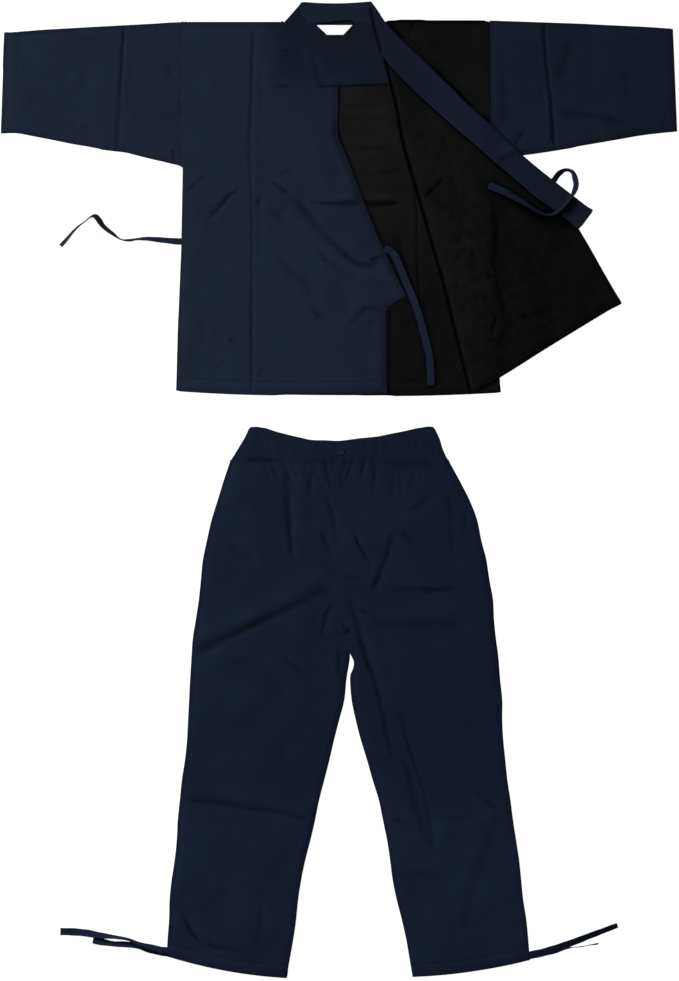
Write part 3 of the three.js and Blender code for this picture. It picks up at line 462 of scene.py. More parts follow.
def smooth_line(points, step):
    """A curve through the points, cut into even pieces of about step."""
    points = np.asarray(points, float)
    spans = np.diff(points, axis=0)
    lengths = np.linalg.norm(spans[:, :2], axis=1)
    knots = np.concatenate(([0], np.cumsum(lengths)))
    slopes = spans / lengths[:, None]
    tangents = np.vstack((slopes[:1], slopes))
    tangents[1:-1] = (slopes[1:] * lengths[:-1, None] + slopes[:-1] * lengths[1:, None]) / (
        lengths[1:] + lengths[:-1]
    )[:, None]
    t = np.linspace(0, knots[-1], max(2, math.ceil(knots[-1] / step) + 1))
    i = np.clip(np.searchsorted(knots, t, side="right") - 1, 0, len(points) - 2)
    h = lengths[i][:, None]
    s = ((t - knots[i]) / lengths[i])[:, None]
    return (
        (2 * s**3 - 3 * s**2 + 1) * points[i]
        + (s**3 - 2 * s**2 + s) * h * tangents[i]
        + (3 * s**2 - 2 * s**3) * points[i + 1]
        + (s**3 - s**2) * h * tangents[i + 1]
    )


def to_line(points, line):
    """Signed distance to a line, positive on its left, and the share of its length passed there."""
    best = np.full(len(points), np.inf)
    signed = np.zeros(len(points))
    along = np.zeros(len(points))
    steps = np.diff(line, axis=0)
    lengths = np.hypot(steps[:, 0], steps[:, 1])
    passed = np.concatenate(([0], np.cumsum(lengths)))
    for start, step, length, before in zip(line[:-1], steps, lengths, passed):
        offset = points - start
        t = np.clip(offset @ step / length**2, 0, 1)
        away = offset - t[:, None] * step
        distance = np.hypot(away[:, 0], away[:, 1])
        side = np.where(step[0] * offset[:, 1] - step[1] * offset[:, 0] < 0, -1, 1)
        closer = distance < best
        best = np.where(closer, distance, best)
        signed = np.where(closer, side * distance, signed)
        along = np.where(closer, (before + t * length) / passed[-1], along)
    return signed, along


def near_line(points, line, reach):
    """The numbers of the points in a box around a line, and what to_line says about them."""
    low = line.min(axis=0) - reach
    high = line.max(axis=0) + reach
    near = np.flatnonzero(np.all((points > low) & (points < high), axis=1))
    if not len(near):
        return near, np.zeros(0), np.zeros(0)
    return near, *to_line(points[near], line)


def length_of(line):
    return np.linalg.norm(np.diff(line, axis=0), axis=1).sum()


def headings(line):
    """The unit direction of a line at each of its points."""
    along = np.gradient(line, axis=0)
    return along / np.linalg.norm(along, axis=1)[:, None]


# The upper faces of a flattened tube lie above this height. Other sheets have only one upper face.
UPPER_FACE = {"sleeve_right": 1.35, "sleeve_left": 1.35, "waistband": 3.0}


def outline(node):
    """The outline of a CAD sheet's upper face, in plan, anticlockwise."""
    above = UPPER_FACE.get(node, -1.0)
    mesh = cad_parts[node].data
    mesh.calc_loop_triangles()
    points = np.empty(len(mesh.vertices) * 3)
    mesh.vertices.foreach_get("co", points)
    corners = np.empty(len(mesh.loop_triangles) * 3, int)
    mesh.loop_triangles.foreach_get("vertices", corners)
    triangles = points.reshape(-1, 3)[corners.reshape(-1, 3)] / MM
    normals = np.cross(triangles[:, 1] - triangles[:, 0], triangles[:, 2] - triangles[:, 0])
    steep = normals[:, 2] / (np.linalg.norm(normals, axis=1) + 1e-9)
    upper = triangles[(steep > 0.3) & (triangles[:, :, 2].min(axis=1) > above)][:, :, :2]
    keys = np.round(upper.reshape(-1, 2), 2)
    plan, index = np.unique(keys, axis=0, return_inverse=True)
    index = index.reshape(-1, 3)
    edges = {(a, b) for t in index.tolist() for a, b in zip(t, t[1:] + t[:1])}
    following = {a: b for a, b in edges if (b, a) not in edges}
    loops = []
    while following:
        loop = [next(iter(sorted(following)))]
        while loop[-1] in following:
            loop.append(following.pop(loop[-1]))
        loops.append(plan[loop[:-1]])
    return max(loops, key=lambda loop: abs(area_of(loop)))


def area_of(loop):
    """Positive if the outline runs anticlockwise."""
    x, y = loop[:, 0], loop[:, 1]
    return 0.5 * float(np.sum(x * np.roll(y, -1) - y * np.roll(x, -1)))


def resample(loop, step):
    """A closed outline with even steps, smooth between its corners."""
    before = loop - np.roll(loop, 1, axis=0)
    after = np.roll(loop, -1, axis=0) - loop
    turn = np.degrees(np.arctan2(
        before[:, 0] * after[:, 1] - before[:, 1] * after[:, 0], np.sum(before * after, axis=1)))
    corners = np.flatnonzero(np.abs(turn) > CORNER)
    loop = np.roll(loop, -corners[0], axis=0)
    corners = np.append(corners - corners[0], len(loop))
    loop = np.vstack((loop, loop[:1]))
    stretches = [smooth_line(loop[a:b + 1], step)[:-1] for a, b in zip(corners[:-1], corners[1:])]
    return np.vstack(stretches)


def outward(loop):
    """Outward normals of an anticlockwise outline."""
    along = np.roll(loop, -1, axis=0) - np.roll(loop, 1, axis=0)
    along /= np.linalg.norm(along, axis=1)[:, None]
    return np.column_stack((along[:, 1], -along[:, 0]))


def tree_of(points):
    """A search tree over points in plan."""
    tree = KDTree(len(points))
    for n, (x, y) in enumerate(points):
        tree.insert((x, y, 0), n)
    tree.balance()
    return tree


def distances(points, tree):
    """How far each point is from the nearest one in the tree."""
    return np.array([tree.find((x, y, 0))[2] for x, y in points])


def inside(points, loop):
    """Which points lie inside an outline."""
    x, y = points[:, 0][:, None], points[:, 1][:, None]
    x0, y0 = loop.T
    x1, y1 = np.roll(loop, -1, axis=0).T
    crossing = ((y0 > y) != (y1 > y)) & (x < (x1 - x0) * (y - y0) / (y1 - y0 + 1e-12) + x0)
    return crossing.sum(axis=1) % 2 == 1


def lattice(low, high, step, rng):
    """A jittered triangular lattice over a rectangle."""
    rows = np.arange(low[1], high[1], step * 0.866)
    columns = np.arange(low[0], high[0], step)
    x, y = np.meshgrid(columns, rows)
    x[1::2] += step / 2
    points = np.column_stack((x.ravel(), y.ravel()))
    return points + rng.uniform(-0.12, 0.12, points.shape) * step


# ---- Height of the cloth ----


def cloud(points, size, seed):
    """Smooth noise between -1 and 1 whose patches are about size across."""
    rng = np.random.default_rng(seed)
    values = rng.uniform(-1, 1, (256, 256))
    angle = rng.uniform(0, math.pi)
    turned = points @ np.array([[math.cos(angle), -math.sin(angle)], [math.sin(angle), math.cos(angle)]])
    cell = turned / size + 64
    whole = np.floor(cell).astype(int)
    x, y = smooth_step(cell - whole).T
    i, j = (whole % 256).T
    right, above = (i + 1) % 256, (j + 1) % 256
    low = values[i, j] * (1 - x) + values[right, j] * x
    high = values[i, above] * (1 - x) + values[right, above] * x
    return low * (1 - y) + high * y


def unevenness(points, seed, amount=1.0):
    """How cloth that was folded and laid out stands off what it lies on."""
    height = 1.8 + 0.9 * cloud(points, 150, seed) + 0.95 * cloud(points, 62, seed + 1)
    height += 0.38 * cloud(points, 27, seed + 2) + 0.09 * cloud(points, 11, seed + 3)
    return amount * height


def crease_parts(points, origin, rows, seed):
    """For each crease, the points near it, the depth of its trough there and the swelling beside it."""
    rng = np.random.default_rng(seed)
    for row in rows:
        wander, swell, dip = rng.uniform(0, 2 * math.pi, 3)
        line = smooth_line(place(origin, row.path), 7)
        line[:, 0] += 0.5 * np.sin(np.arange(len(line)) * 0.9 + wander)
        near, distance, along = near_line(points, line, CREASE_REACH * row.width)
        fade = min(0.35, CREASE_FADE / length_of(line))
        ends = smooth_step(along / fade) * smooth_step((1 - along) / fade)
        width = row.width * (0.65 + 0.35 * ends) * (1 + 0.2 * np.sin(5 * along + swell))
        uneven = ends * (1 + 0.25 * np.sin(9 * along + dip) + 0.12 * np.sin(23 * along + wander))
        side = math.copysign(1.0, row.ridge) * distance / width
        ridge = bell(side - RIDGE_AT, np.where(side < RIDGE_AT, 1.2, RIDGE_AT))
        yield near, uneven * row.depth * bell(side, 1), uneven * abs(row.ridge) * ridge


def creases(points, origin, rows, seed):
    """Soft troughs, some with a low ridge beside them, that die away at both ends."""
    heights = np.zeros(len(points))
    for near, trough, swelling in crease_parts(points, origin, rows, seed):
        heights[near] += RELIEF * (swelling - trough)
    return heights


def crease_shade(points, origin, rows, seed):
    """Painted shade in the cloth's creases, and painted light on the ridges beside them, as a factor."""
    deep = np.zeros(len(points))
    for near, trough, swelling in crease_parts(points, origin, rows, seed):
        deep[near] += trough - 0.6 * swelling
    return 1 - np.clip(CREASE_SHADE * deep, -0.15, 0.5)


def above_zero(height):
    """Cloth that would sink into what it lies on lies flat on it, with a soft bend where it meets it."""
    return 0.5 * (height + np.sqrt(height**2 + 0.12**2))


def local(origin, points):
    """x and down in a garment's plan."""
    return points[:, 0] - origin[0], origin[1] - points[:, 1]


def lining_field(points):
    """The back's lining, whose folds die away under the right front and at the left side seam."""
    x, _ = local(JACKET, points)
    shown = span(x, -80, -10) * (1 - span(x, 270, 320))
    return shown * above_zero(unevenness(points, 11, 0.7) + creases(points, JACKET, LINING_CREASES, 12))


def jacket_field(points):
    return above_zero(unevenness(points, 21) + creases(points, *ON_JACKET))


def distance_to(path, points):
    """Signed distance to a path in the jacket's plan."""
    return to_line(points, smooth_line(place(JACKET, path), 20))[0]


def shoulder_field(points):
    """The left shoulder and sleeve, which lie flat from the collar strip down."""
    x, down = local(JACKET, points)
    return span(x - 95 - down, 0, 36) * jacket_field(points)


def turned_field(points):
    """Close wrinkles around a knot, and calm cloth where the collar strip lies on it."""
    rough = 0.45 * cloud(points, 17, 31) + 0.2 * cloud(points, 9, 32)
    rough *= 1 + 0.9 * bell(distance_to(KNOT, points), 40)
    raw = 0.3 + rough + unevenness(points, 33, 1.15) + creases(points, JACKET, TURNED_CREASES, 34)
    below_strip = -distance_to(STRIP_LOWER, points)
    return lining_field(points) + above_zero(raw) * (0.35 + 0.65 * span(below_strip, 2, 18))


def sleeve_left_field(points):
    """The sleeve rises to the collar strip that lies on it."""
    return shoulder_field(points) + 2.8 * bell(distance_to(STRIP_ON_SLEEVE, points), 16)


def strip_field(points):
    return turned_field(points) + above_zero(0.5 + creases(points, JACKET, STRIP_CREASES, 36))


def seeded_gathers():
    """Short creases that run down from the elastic, uneven in length, depth and spacing."""
    rng = np.random.default_rng(45)
    rows = []
    x = -150.0
    while x < 170:
        length = rng.uniform(28, 100) * (1.0 if abs(x) < 120 else 0.6)
        lean = rng.uniform(-0.3, 0.3) - x * 0.002
        bend = rng.uniform(-4, 4)
        top = rng.uniform(16, 50)
        path = [(x, top), (x + lean * length / 2 + bend, top + length / 2), (x + lean * length, top + length)]
        depth = rng.uniform(0.3, 1.3)
        rows.append(Crease(path, rng.uniform(2.4, 5.0), depth, depth * rng.uniform(-0.3, 0.4)))
        x += rng.uniform(7, 19)
    return rows


# Garment, creases and seed, as creases() and crease_shade() take them.
ON_JACKET = (JACKET, JACKET_CREASES, 22)
ON_LEGS = (TROUSERS, TROUSER_CREASES + seeded_gathers(), 44)

# The creases whose painted shade and light also go into the colour of each sheet.
CREASED = {
    "front_right": ON_JACKET,
    "front_left_unturned": ON_JACKET,
    "sleeve_right": ON_JACKET,
    "sleeve_left": ON_JACKET,
    "collar_right": ON_JACKET,
    "back_lining": (JACKET, LINING_CREASES, 12),
    "front_left_lining": (JACKET, TURNED_CREASES, 34),
    "collar_left": (JACKET, STRIP_CREASES, 36),
    "leg_front_right": ON_LEGS,
    "leg_front_left": ON_LEGS,
}


def trouser_field(points):
    return above_zero(unevenness(points, 43, 1.1) + creases(points, *ON_LEGS))


def flat(height):
    return lambda points: np.full(len(points), height)


def by_x(stations):
    """A height that changes with the distance from the jacket's middle."""
    xs, heights = zip(*stations)

    def base(points):
        x, _ = local(JACKET, points)
        return np.interp(x, xs, heights)

    return base


def turned(extra):
    """A height above the underside of the folded front, which comes down to the ground beside the jacket."""

    def base(points):
        x, _ = local(JACKET, points)
        return 3 * LAYER * (1 - span(x, *FALL)) + extra

    return base


# ---- Colour of the cloth ----

# A factor for the cloth's colour by place. x and down are in the jacket's plan also on the legs, whose cloth
# runs from 852 down to 1857 there. Around the neck the cloth is darkened with painted shade, and the lining
# is darker the further it lies from the neck.
PAINTED_SHADE_AND_TONE = {
    # painted shade around the neck on the yoke, the right front and both collars
    "back_neck_yoke": lambda x, down: 1.03 - 0.32 * span(x, -165, -85) * (1 - span(down, 70, 180)),
    "front_right": lambda x, down: 1.12 - 0.34 * span(x, -165, -85) * (1 - span(down, 70, 180)),
    "collar_right": lambda x, down: 1.08 - 0.32 * (1 - span(down, 70, 180)),
    "collar_left": lambda x, down: 0.77 + 0.2 * span(x, 110, 210),
    "back_lining": lambda x, down: 1.12 - 0.42 * span(down, 200, 560),
    "front_left_lining": lambda x, down: 0.84 - 0.26 * span(x, 230, 400),
    "front_left_unturned": lambda x, down: 0.72 + 0.12 * span(x, 150, 260),
    "waistband": lambda x, down: 0.88 * np.ones(len(x)),
    "leg_front_right": lambda x, down: 0.97 + 0.13 * span(down, 1450, 1650),
    "leg_front_left": lambda x, down: 0.97 + 0.27 * span(down, 1400, 1620),
}

# ---- Meshes ----


def add_object(name, data):
    made = bpy.data.objects.new(name, data)
    bpy.context.scene.collection.objects.link(made)
    return made


def make_object(name, points, faces, shade, material, sharp=()):
    """A smooth mesh object. Edges between two of the sharp points are sharp."""
    mesh = bpy.data.meshes.new(name)
    mesh.from_pydata((np.asarray(points) * MM).tolist(), [], faces)
    mesh.polygons.foreach_set("use_smooth", [True] * len(mesh.polygons))
    sharp = set(sharp)
    for edge in mesh.edges if sharp else ():
        edge.use_edge_sharp = all(n in sharp for n in edge.vertices)
    mesh.attributes.new("shade", "FLOAT", "POINT").data.foreach_set("value", shade)
    mesh.materials.append(material)
    mesh.update()
    return add_object(name, mesh)


def merged(parts):
    """Several (points, faces, shade) as one."""
    points = []
    faces = []
    shades = []
    start = 0
    for part_points, part_faces, part_shade in parts:
        points.append(part_points)
        shades.append(part_shade)
        faces += [tuple(start + n for n in face) for face in part_faces]
        start += len(part_points)
    return np.vstack(points), faces, np.concatenate(shades)


def loft(rings):
    """A closed tube through rings of points, capped at both ends."""
    rows, columns = rings.shape[:2]
    faces = []
    for r in range(rows - 1):
        for c in range(columns):
            a, b = r * columns + c, r * columns + (c + 1) % columns
            faces.append((a, b, b + columns, a + columns))
    faces.append(tuple(reversed(range(columns))))
    faces.append(tuple(range((rows - 1) * columns, rows * columns)))
    return rings.reshape(-1, 3), faces, np.ones(rows * columns)


class Surface:
    """The upper face of a laid sheet: its outline, where that isn't sewn on, and its height at any point.

    base is the height of what it lies on, and field how far its cloth stands off that. Its edges reach across
    the share bridge of the gap to the neighbours that it is sewn to, but not below open_below. edge_calm is
    the share by which its folds die down at a free edge.
    """

    def __init__(self, node, base, field, neighbours=(), thickness=CLOTH, origin=JACKET, step=MESH_STEP,
                 bridge=0.5, open_below=math.inf, edge_calm=0.7):
        self.node = node
        self.base = base
        self.thickness = thickness
        self.field = field
        self.step = step
        self.edge_calm = edge_calm
        self.seams = [(smooth_line(place(origin, s.path), MESH_STEP), s) for s in SEAMS.get(node, ())]
        self.shades = [(smooth_line(place(origin, s.path), MESH_STEP), s) for s in SHADES if node in s.nodes]
        self.loop = resample(outline(node), step)
        gap = np.full(len(self.loop), math.inf)
        for neighbour in neighbours:
            gap = np.minimum(gap, distances(self.loop, tree_of(resample(outline(neighbour), 1.0))))
        gap[local(origin, self.loop)[1] > open_below] = math.inf
        self.free = gap > SEWN_WITHIN
        self.free_edge = tree_of(self.loop[self.free])
        growth = np.where(self.free, EDGE_GROWTH, bridge * np.minimum(gap, SEWN_WITHIN) + SEAM_OVERLAP)
        for nudge in NUDGES:
            if node in nudge.nodes:
                distance, _ = to_line(self.loop, smooth_line(place(origin, nudge.path), 10))
                growth = growth + nudge.out * bell(distance, nudge.reach)
        self.loop = self.loop + outward(self.loop) * growth[:, None]

    def tone(self, points):
        """A factor for the cloth's colour: painted shade and light by place, in creases, beside or under
        other pieces.
        """
        factor = np.ones(len(points))
        if self.node in PAINTED_SHADE_AND_TONE:
            factor = PAINTED_SHADE_AND_TONE[self.node](*local(JACKET, points))
        if self.node in CREASED:
            factor = factor * crease_shade(points, *CREASED[self.node])
        for line, shade in self.shades:
            near, distance, _ = near_line(points, line, 3 * shade.reach)
            power = 4 if shade.reach < SHARP_REACH else 2
            factor[near] *= 1 - shade.depth * np.exp(-(np.abs(distance / shade.reach) ** power))
        return factor

    def top(self, points):
        """The height of the upper face."""
        height = self.base(points) + self.thickness
        if self.field is not None:
            near_edge = 1 - smooth_step(distances(points, self.free_edge) / EDGE_CALM)
            height = height + self.field(points) * (1 - self.edge_calm * near_edge)
        for line, seam in self.seams:
            near, distance, along = near_line(points, line, HEM_WIDTH + 14)
            beside = (along > 0.001) & (along < 0.999)
            groove = seam.groove * bell(distance, SEAM_WIDTH)
            side = np.sign(seam.step) * distance
            step = abs(seam.step) * span(side, 0, 2.4) * (1 - span(side, HEM_WIDTH, HEM_WIDTH + 8))
            height[near] += np.where(beside, step - groove, 0)
        return height


def fine_rows(surface):
    """Rows of points along seams and sharp shades, so that they are cleanly cut."""
    lines = [(line, SEAM_WIDTH) for line, _ in surface.seams]
    lines += [(line, 0.6 * shade.reach) for line, shade in surface.shades if shade.reach < SHARP_REACH]
    rows = []
    for line, spread in lines:
        along = headings(line)
        left = np.column_stack((-along[:, 1], along[:, 0]))
        for offset in (-2.1, -1, 0, 1, 2.1):
            row = line + left * offset * spread
            if rows:
                row = row[distances(row, tree_of(np.vstack(rows))) > 0.7]
            rows.append(row)
    return rows


def strip(first, second):
    """Faces between two closed rings of point numbers."""
    count = len(first)
    return [(first[n], second[n], second[(n + 1) % count], first[(n + 1) % count]) for n in range(count)]


def fill(ring, extra):
    """Triangles inside a ring, through the extra points: the points, the faces and the ring's numbers."""
    points = [Vector(p) for p in np.vstack((ring, extra)).tolist()]
    found, _, faces, origins, _, _ = delaunay_2d_cdt(points, [], [list(range(len(ring)))], 1, 1e-5)
    used = sorted({n for face in faces for n in face})
    order = {old: new for new, old in enumerate(used)}
    plan = np.array([tuple(found[n]) for n in used])
    number = {old: order[new] for new, olds in enumerate(origins) for old in olds if new in order}
    return plan, [tuple(order[n] for n in face) for face in faces], [number[n] for n in range(len(ring))]


def lattice_inside(ring, step, rng, others=None):
    """Lattice points over a ring's box that keep their distance from the ring and from other points."""
    grid = lattice(ring.min(axis=0), ring.max(axis=0), step, rng)
    crowd = ring if others is None else np.vstack((ring, others))
    return grid[distances(grid, tree_of(crowd)) > 0.62 * step]


def painted_hollow_shade(plan, heights, faces, strength):
    """Painted shade in the cloth's troughs, and a little painted light on its crests, as a factor for each
    point.

    A trough is what lies lower than the cloth around it, once that is smoothed over HOLLOW_REACH steps.
    """
    triangles = np.array(faces)
    ends = np.vstack((triangles[:, :2], triangles[:, 1:], triangles[:, ::2]))
    first, second = np.vstack((ends, ends[:, ::-1])).T
    degree = np.bincount(first, minlength=len(plan)) + 1
    smooth = heights
    for _ in range(HOLLOW_REACH):
        smooth = (smooth + np.bincount(first, smooth[second], len(plan))) / degree
    return 1 - np.clip(strength * (smooth - heights), -0.06, 0.4 + 0.3 * (strength - HOLLOW_SHADE))


def slab(surface, ground=False):
    """A sheet of cloth with rounded rims. Its underside is coarse, and flat if it lies on the ground.

    It leaves the numbers of the points along its sewn edges in surface.seam_rim.
    """
    rng = np.random.default_rng(len(surface.loop))
    rim = surface.loop
    inner = rim - outward(rim) * RIM_INSET
    extra = np.empty((0, 2))
    rows = fine_rows(surface)
    if rows:
        extra = np.vstack(rows)
        extra = extra[inside(extra, inner) & (distances(extra, tree_of(inner)) > 0.8)]
    extra = np.vstack((extra, lattice_inside(inner, surface.step, rng, extra)))
    plan, faces, ring = fill(inner, extra)
    heights = surface.top(plan)
    edge = heights[ring]
    low_plan, low_faces, low_ring = fill(inner, lattice_inside(inner, HIDDEN_STEP, rng))
    low = np.zeros(len(low_plan)) if ground else surface.base(low_plan)
    low[low_ring] = 0 if ground else edge - surface.thickness
    drop = np.where(surface.free, FREE_DROP, SEAM_DROP) * surface.thickness
    points = np.vstack((
        np.column_stack((plan, heights)),
        np.column_stack((rim, edge - drop)),
        np.column_stack((rim, edge - FOOT_DROP * surface.thickness)),
        np.column_stack((low_plan, low)),
    ))
    count = len(rim)
    # The shade attribute is painted light and shade: in troughs and creases, along free edges and beside
    # other pieces.
    strength = DEEP_HOLLOW_SHADE if "lining" in surface.node else HOLLOW_SHADE
    painted_rim_shade = surface.tone(rim) * np.where(surface.free, EDGE_PAINTED_SHADE, 1.0)
    painted_face_shade = painted_hollow_shade(plan, heights, faces, strength) * surface.tone(plan)
    shade = np.concatenate((painted_face_shade, painted_rim_shade, painted_rim_shade, np.ones(len(low_plan))))
    upper = list(range(len(plan), len(plan) + count))
    lower = [n + count for n in upper]
    start = len(plan) + 2 * count
    under = [start + n for n in low_ring]
    faces += strip(ring, upper) + strip(upper, lower) + strip(lower, under)
    faces += [tuple(start + n for n in reversed(face)) for face in low_faces]
    surface.seam_rim = [n for n, free in zip(upper, surface.free) if not free]
    return points, faces, shade


def roll(surface, direction):
    """The rounded fold that joins an upper and a lower sheet along the edge that faces a direction.

    Its section is a half round, 0.6 mm outside the edge, that runs 3 mm in between the sheets.
    """
    normals = outward(surface.loop)
    facing = normals @ np.asarray(direction, float) > 0.72
    start = int(np.flatnonzero(facing & ~np.roll(facing, 1))[0])
    order = [(start + n) % len(facing) for n in range(int(facing.sum()))]
    heights = surface.top(surface.loop - normals * RIM_INSET)
    rings = []
    for n in order:
        half = heights[n] / 2 * 0.99
        turn = np.radians(np.arange(90, -91, -30))
        out = np.append(-1.0 + 1.6 * np.cos(turn), [-3, -3])
        z = np.append(half * (1 + np.sin(turn)), [0.6 * half, 1.4 * half])
        rings.append(np.column_stack((surface.loop[n] + out[:, None] * normals[n], z)))
    return loft(np.array(rings))


def flatbed(surface):
    """The lower sheet of a flattened tube, on the ground."""
    lower = copy.copy(surface)
    lower.base = flat(0.0)
    lower.thickness = CLOTH
    lower.field = None
    lower.seams = []
    lower.shades = []
    lower.step = COARSE_STEP
    return slab(lower, ground=True)


# ---- Ties and stitches ----

UP = np.array([0, 0, 1.0])

# The height of what a tie lies on.
SUPPORT = {
    "ground": flat(0.0),
    "tape": flat(2.6),
    "lining": lambda points: 2 * LAYER + lining_field(points),
    "turned": lambda points: turned(ON_TURNED)(points) + turned_field(points),
    "strip": lambda points: turned(ON_STRIP)(points) + strip_field(points),
}
# Half of a tape's section: how far across its width, and how thick it is there, as shares of the whole.
TAPE_PROFILE = [(-0.5, 0.28), (-0.47, 0.45), (-0.38, 0.36), (-0.2, 0.5), (0.2, 0.5), (0.38, 0.36),
                (0.47, 0.45), (0.5, 0.28)]


def tape_line(origin, stretches):
    """The middle of a tape with its turn and height, in even steps: x, y, turn, z."""
    rows = []
    for support, stations in stretches.items():
        for x, down, turn in stations:
            at = place(origin, [(x, down)])
            angle = math.radians(turn)
            lift = TAPE_WIDTH / 2 * abs(math.sin(angle)) + TAPE / 2 * math.cos(angle) + TAPE_CURL
            rows.append((*at[0], angle, SUPPORT[support](at)[0] + lift))
    line = smooth_line(rows, 2.5)
    lowest = 0.52 * TAPE_WIDTH * np.abs(np.sin(line[:, 2])) + TAPE / 2 + TAPE_CURL
    line[:, 3] = np.maximum(line[:, 3], lowest)
    return line


def tape_axes(line):
    """For each point of a tape's middle, the directions along it, across its width and through it."""
    heading = np.column_stack((headings(line[:, :2]), np.zeros(len(line))))
    sideways = np.column_stack((-heading[:, 1], heading[:, 0], np.zeros(len(line))))
    width = sideways * np.cos(line[:, 2])[:, None] + UP * np.sin(line[:, 2])[:, None]
    return heading, width, np.cross(heading, width)


def tape(line, seed):
    """The cloth of a tie, with thicker edges, that waves and curls a little."""
    rng = np.random.default_rng(seed)
    _, width, normal = tape_axes(line)
    middle = line[:, [0, 1, 3]]
    wave = rng.uniform(0, 6, 2)
    rings = []
    for n in range(len(line)):
        wide = TAPE_WIDTH * (1 + 0.03 * math.sin(0.5 * n + wave[0]))
        wide *= 0.95 if n in (0, len(line) - 1) else 1
        curl = TAPE_CURL * math.sin(0.21 * n + wave[1])
        upper = [(a * wide, t * TAPE + curl * (1 - 4 * a * a)) for a, t in TAPE_PROFILE]
        lower = [(a * wide, -t * TAPE + curl * (1 - 4 * a * a)) for a, t in reversed(TAPE_PROFILE)]
        rings.append([middle[n] + a * width[n] + t * normal[n] for a, t in upper + lower])
    return loft(np.array(rings))


def stitch(middle, heading, up):
    """One thread stitch: a small bar with rounded ends, half sunk."""
    side = np.cross(up, heading)
    rings = []
    for along, thick in ((-1, 0.4), (-0.7, 1), (0.7, 1), (1, 0.4)):
        centre = middle + heading * along * STITCH_LENGTH / 2
        radius = STITCH_RADIUS * thick
        rings.append([centre + radius * (side * a + up * b) for a, b in ((1, 0), (0, 1), (-1, 0), (0, -1))])
    return loft(np.array(rings))


def seam_stitches(surface, line):
    """A row of stitches along a seam, as far as it lies on the sheet."""
    length = length_of(line)
    even = smooth_line(line, length / max(2, round(length / STITCH_PITCH)))
    even = even[inside(even, surface.loop)]
    if len(even) < 3:
        return []
    middle = np.column_stack((even, surface.top(even) + 0.1))
    return [stitch(m, h, UP) for m, h in zip(middle, headings(middle))]


def tape_stitches(line):
    """A row along one edge of a tie, on the face that is turned up."""
    heading, width, normal = tape_axes(line)
    count = max(2, round(length_of(line[:, :2]) / STITCH_PITCH))
    places = np.linspace(2, len(line) - 3, count).astype(int)
    middle = line[:, [0, 1, 3]] + 0.38 * TAPE_WIDTH * width + 0.42 * TAPE * normal
    return [stitch(middle[n], heading[n], normal[n]) for n in places]


# ---- Materials ----

BAND_PERIOD = 0.314  # of the wave texture's bands at scale 1


class Nodes:
    """Shorthand for building one node material."""

    def __init__(self, name):
        self.material = bpy.data.materials.new(name)
        self.material.use_nodes = True
        self.tree = self.material.node_tree
        self.shader = self.tree.nodes["Principled BSDF"]
        self.coordinates = self.add("ShaderNodeTexCoord").outputs["Object"]

    def add(self, kind, **settings):
        node = self.tree.nodes.new(kind)
        for key, value in settings.items():
            if hasattr(node, key):
                setattr(node, key, value)
            else:
                node.inputs[key].default_value = value
        return node

    def link(self, source, target):
        self.tree.links.new(source, target)

    def stretched(self, scale, turn=0.0):
        """Object coordinates, per millimetre, scaled and turned in plan."""
        mapping = self.add("ShaderNodeMapping")
        mapping.inputs["Scale"].default_value = [1000 * s for s in scale]
        mapping.inputs["Rotation"].default_value = (0, 0, turn)
        self.link(self.coordinates, mapping.inputs["Vector"])
        return mapping.outputs["Vector"]

    def noise(self, scale, detail=3):
        node = self.add("ShaderNodeTexNoise", Scale=1.0, Detail=detail, Roughness=0.6)
        self.link(self.stretched(scale), node.inputs["Vector"])
        return node.outputs["Fac"]

    def bands(self, period, turn):
        """Ribs a period apart, in millimetres."""
        node = self.add("ShaderNodeTexWave", wave_type="BANDS", bands_direction="X", Scale=1.0)
        for name, value in (("Distortion", 0.6), ("Detail", 2.0), ("Detail Scale", 2.0)):
            node.inputs[name].default_value = value
        factor = BAND_PERIOD / period
        self.link(self.stretched((factor, factor, factor), turn), node.inputs["Vector"])
        return node.outputs["Fac"]

    def math(self, operation, first, second):
        node = self.add("ShaderNodeMath", operation=operation)
        for socket, value in zip(node.inputs, (first, second)):
            if isinstance(value, (int, float)):
                socket.default_value = value
            else:
                self.link(value, socket)
        return node.outputs[0]

    def total(self, *terms):
        """The sum of (output, weight) pairs."""
        weighted = [self.math("MULTIPLY", output, weight) for output, weight in terms]
        total = weighted[0]
        for term in weighted[1:]:
            total = self.math("ADD", total, term)
        return total

    def ramp(self, factor, stops):
        """A colour for each position of the factor, with blends between them."""
        node = self.add("ShaderNodeValToRGB")
        elements = node.color_ramp.elements
        for n, (position, colour) in enumerate(stops):
            element = elements[n] if n < 2 else elements.new(position)
            element.position = position
            element.color = (*colour, 1)
        self.link(factor, node.inputs["Fac"])
        return node.outputs["Color"]

    def base(self, colour):
        self.link(colour, self.shader.inputs["Base Color"])

    def shaded_base(self, colour):
        """The colour times the mesh's painted light and shade, as the shader's base."""
        shade = self.add("ShaderNodeAttribute", attribute_name="shade")
        node = self.add("ShaderNodeVectorMath", operation="MULTIPLY")
        self.link(colour, node.inputs[0])
        self.link(shade.outputs["Fac"], node.inputs[1])
        self.base(node.outputs[0])

    def bump(self, height, distance, strength):
        node = self.add("ShaderNodeBump", Strength=strength, Distance=distance)
        self.link(height, node.inputs["Height"])
        self.link(node.outputs["Normal"], self.shader.inputs["Normal"])

    def finish(self, roughness, specular, sheen=0.0, tint=(1, 1, 1)):
        self.shader.inputs["Roughness"].default_value = roughness
        self.shader.inputs["Specular IOR Level"].default_value = specular
        self.shader.inputs["Sheen Weight"].default_value = sheen
        self.shader.inputs["Sheen Roughness"].default_value = 0.5
        self.shader.inputs["Sheen Tint"].default_value = (*tint, 1)
        return self.material


def scaled(colour, factor):
    return tuple(c * factor for c in colour)


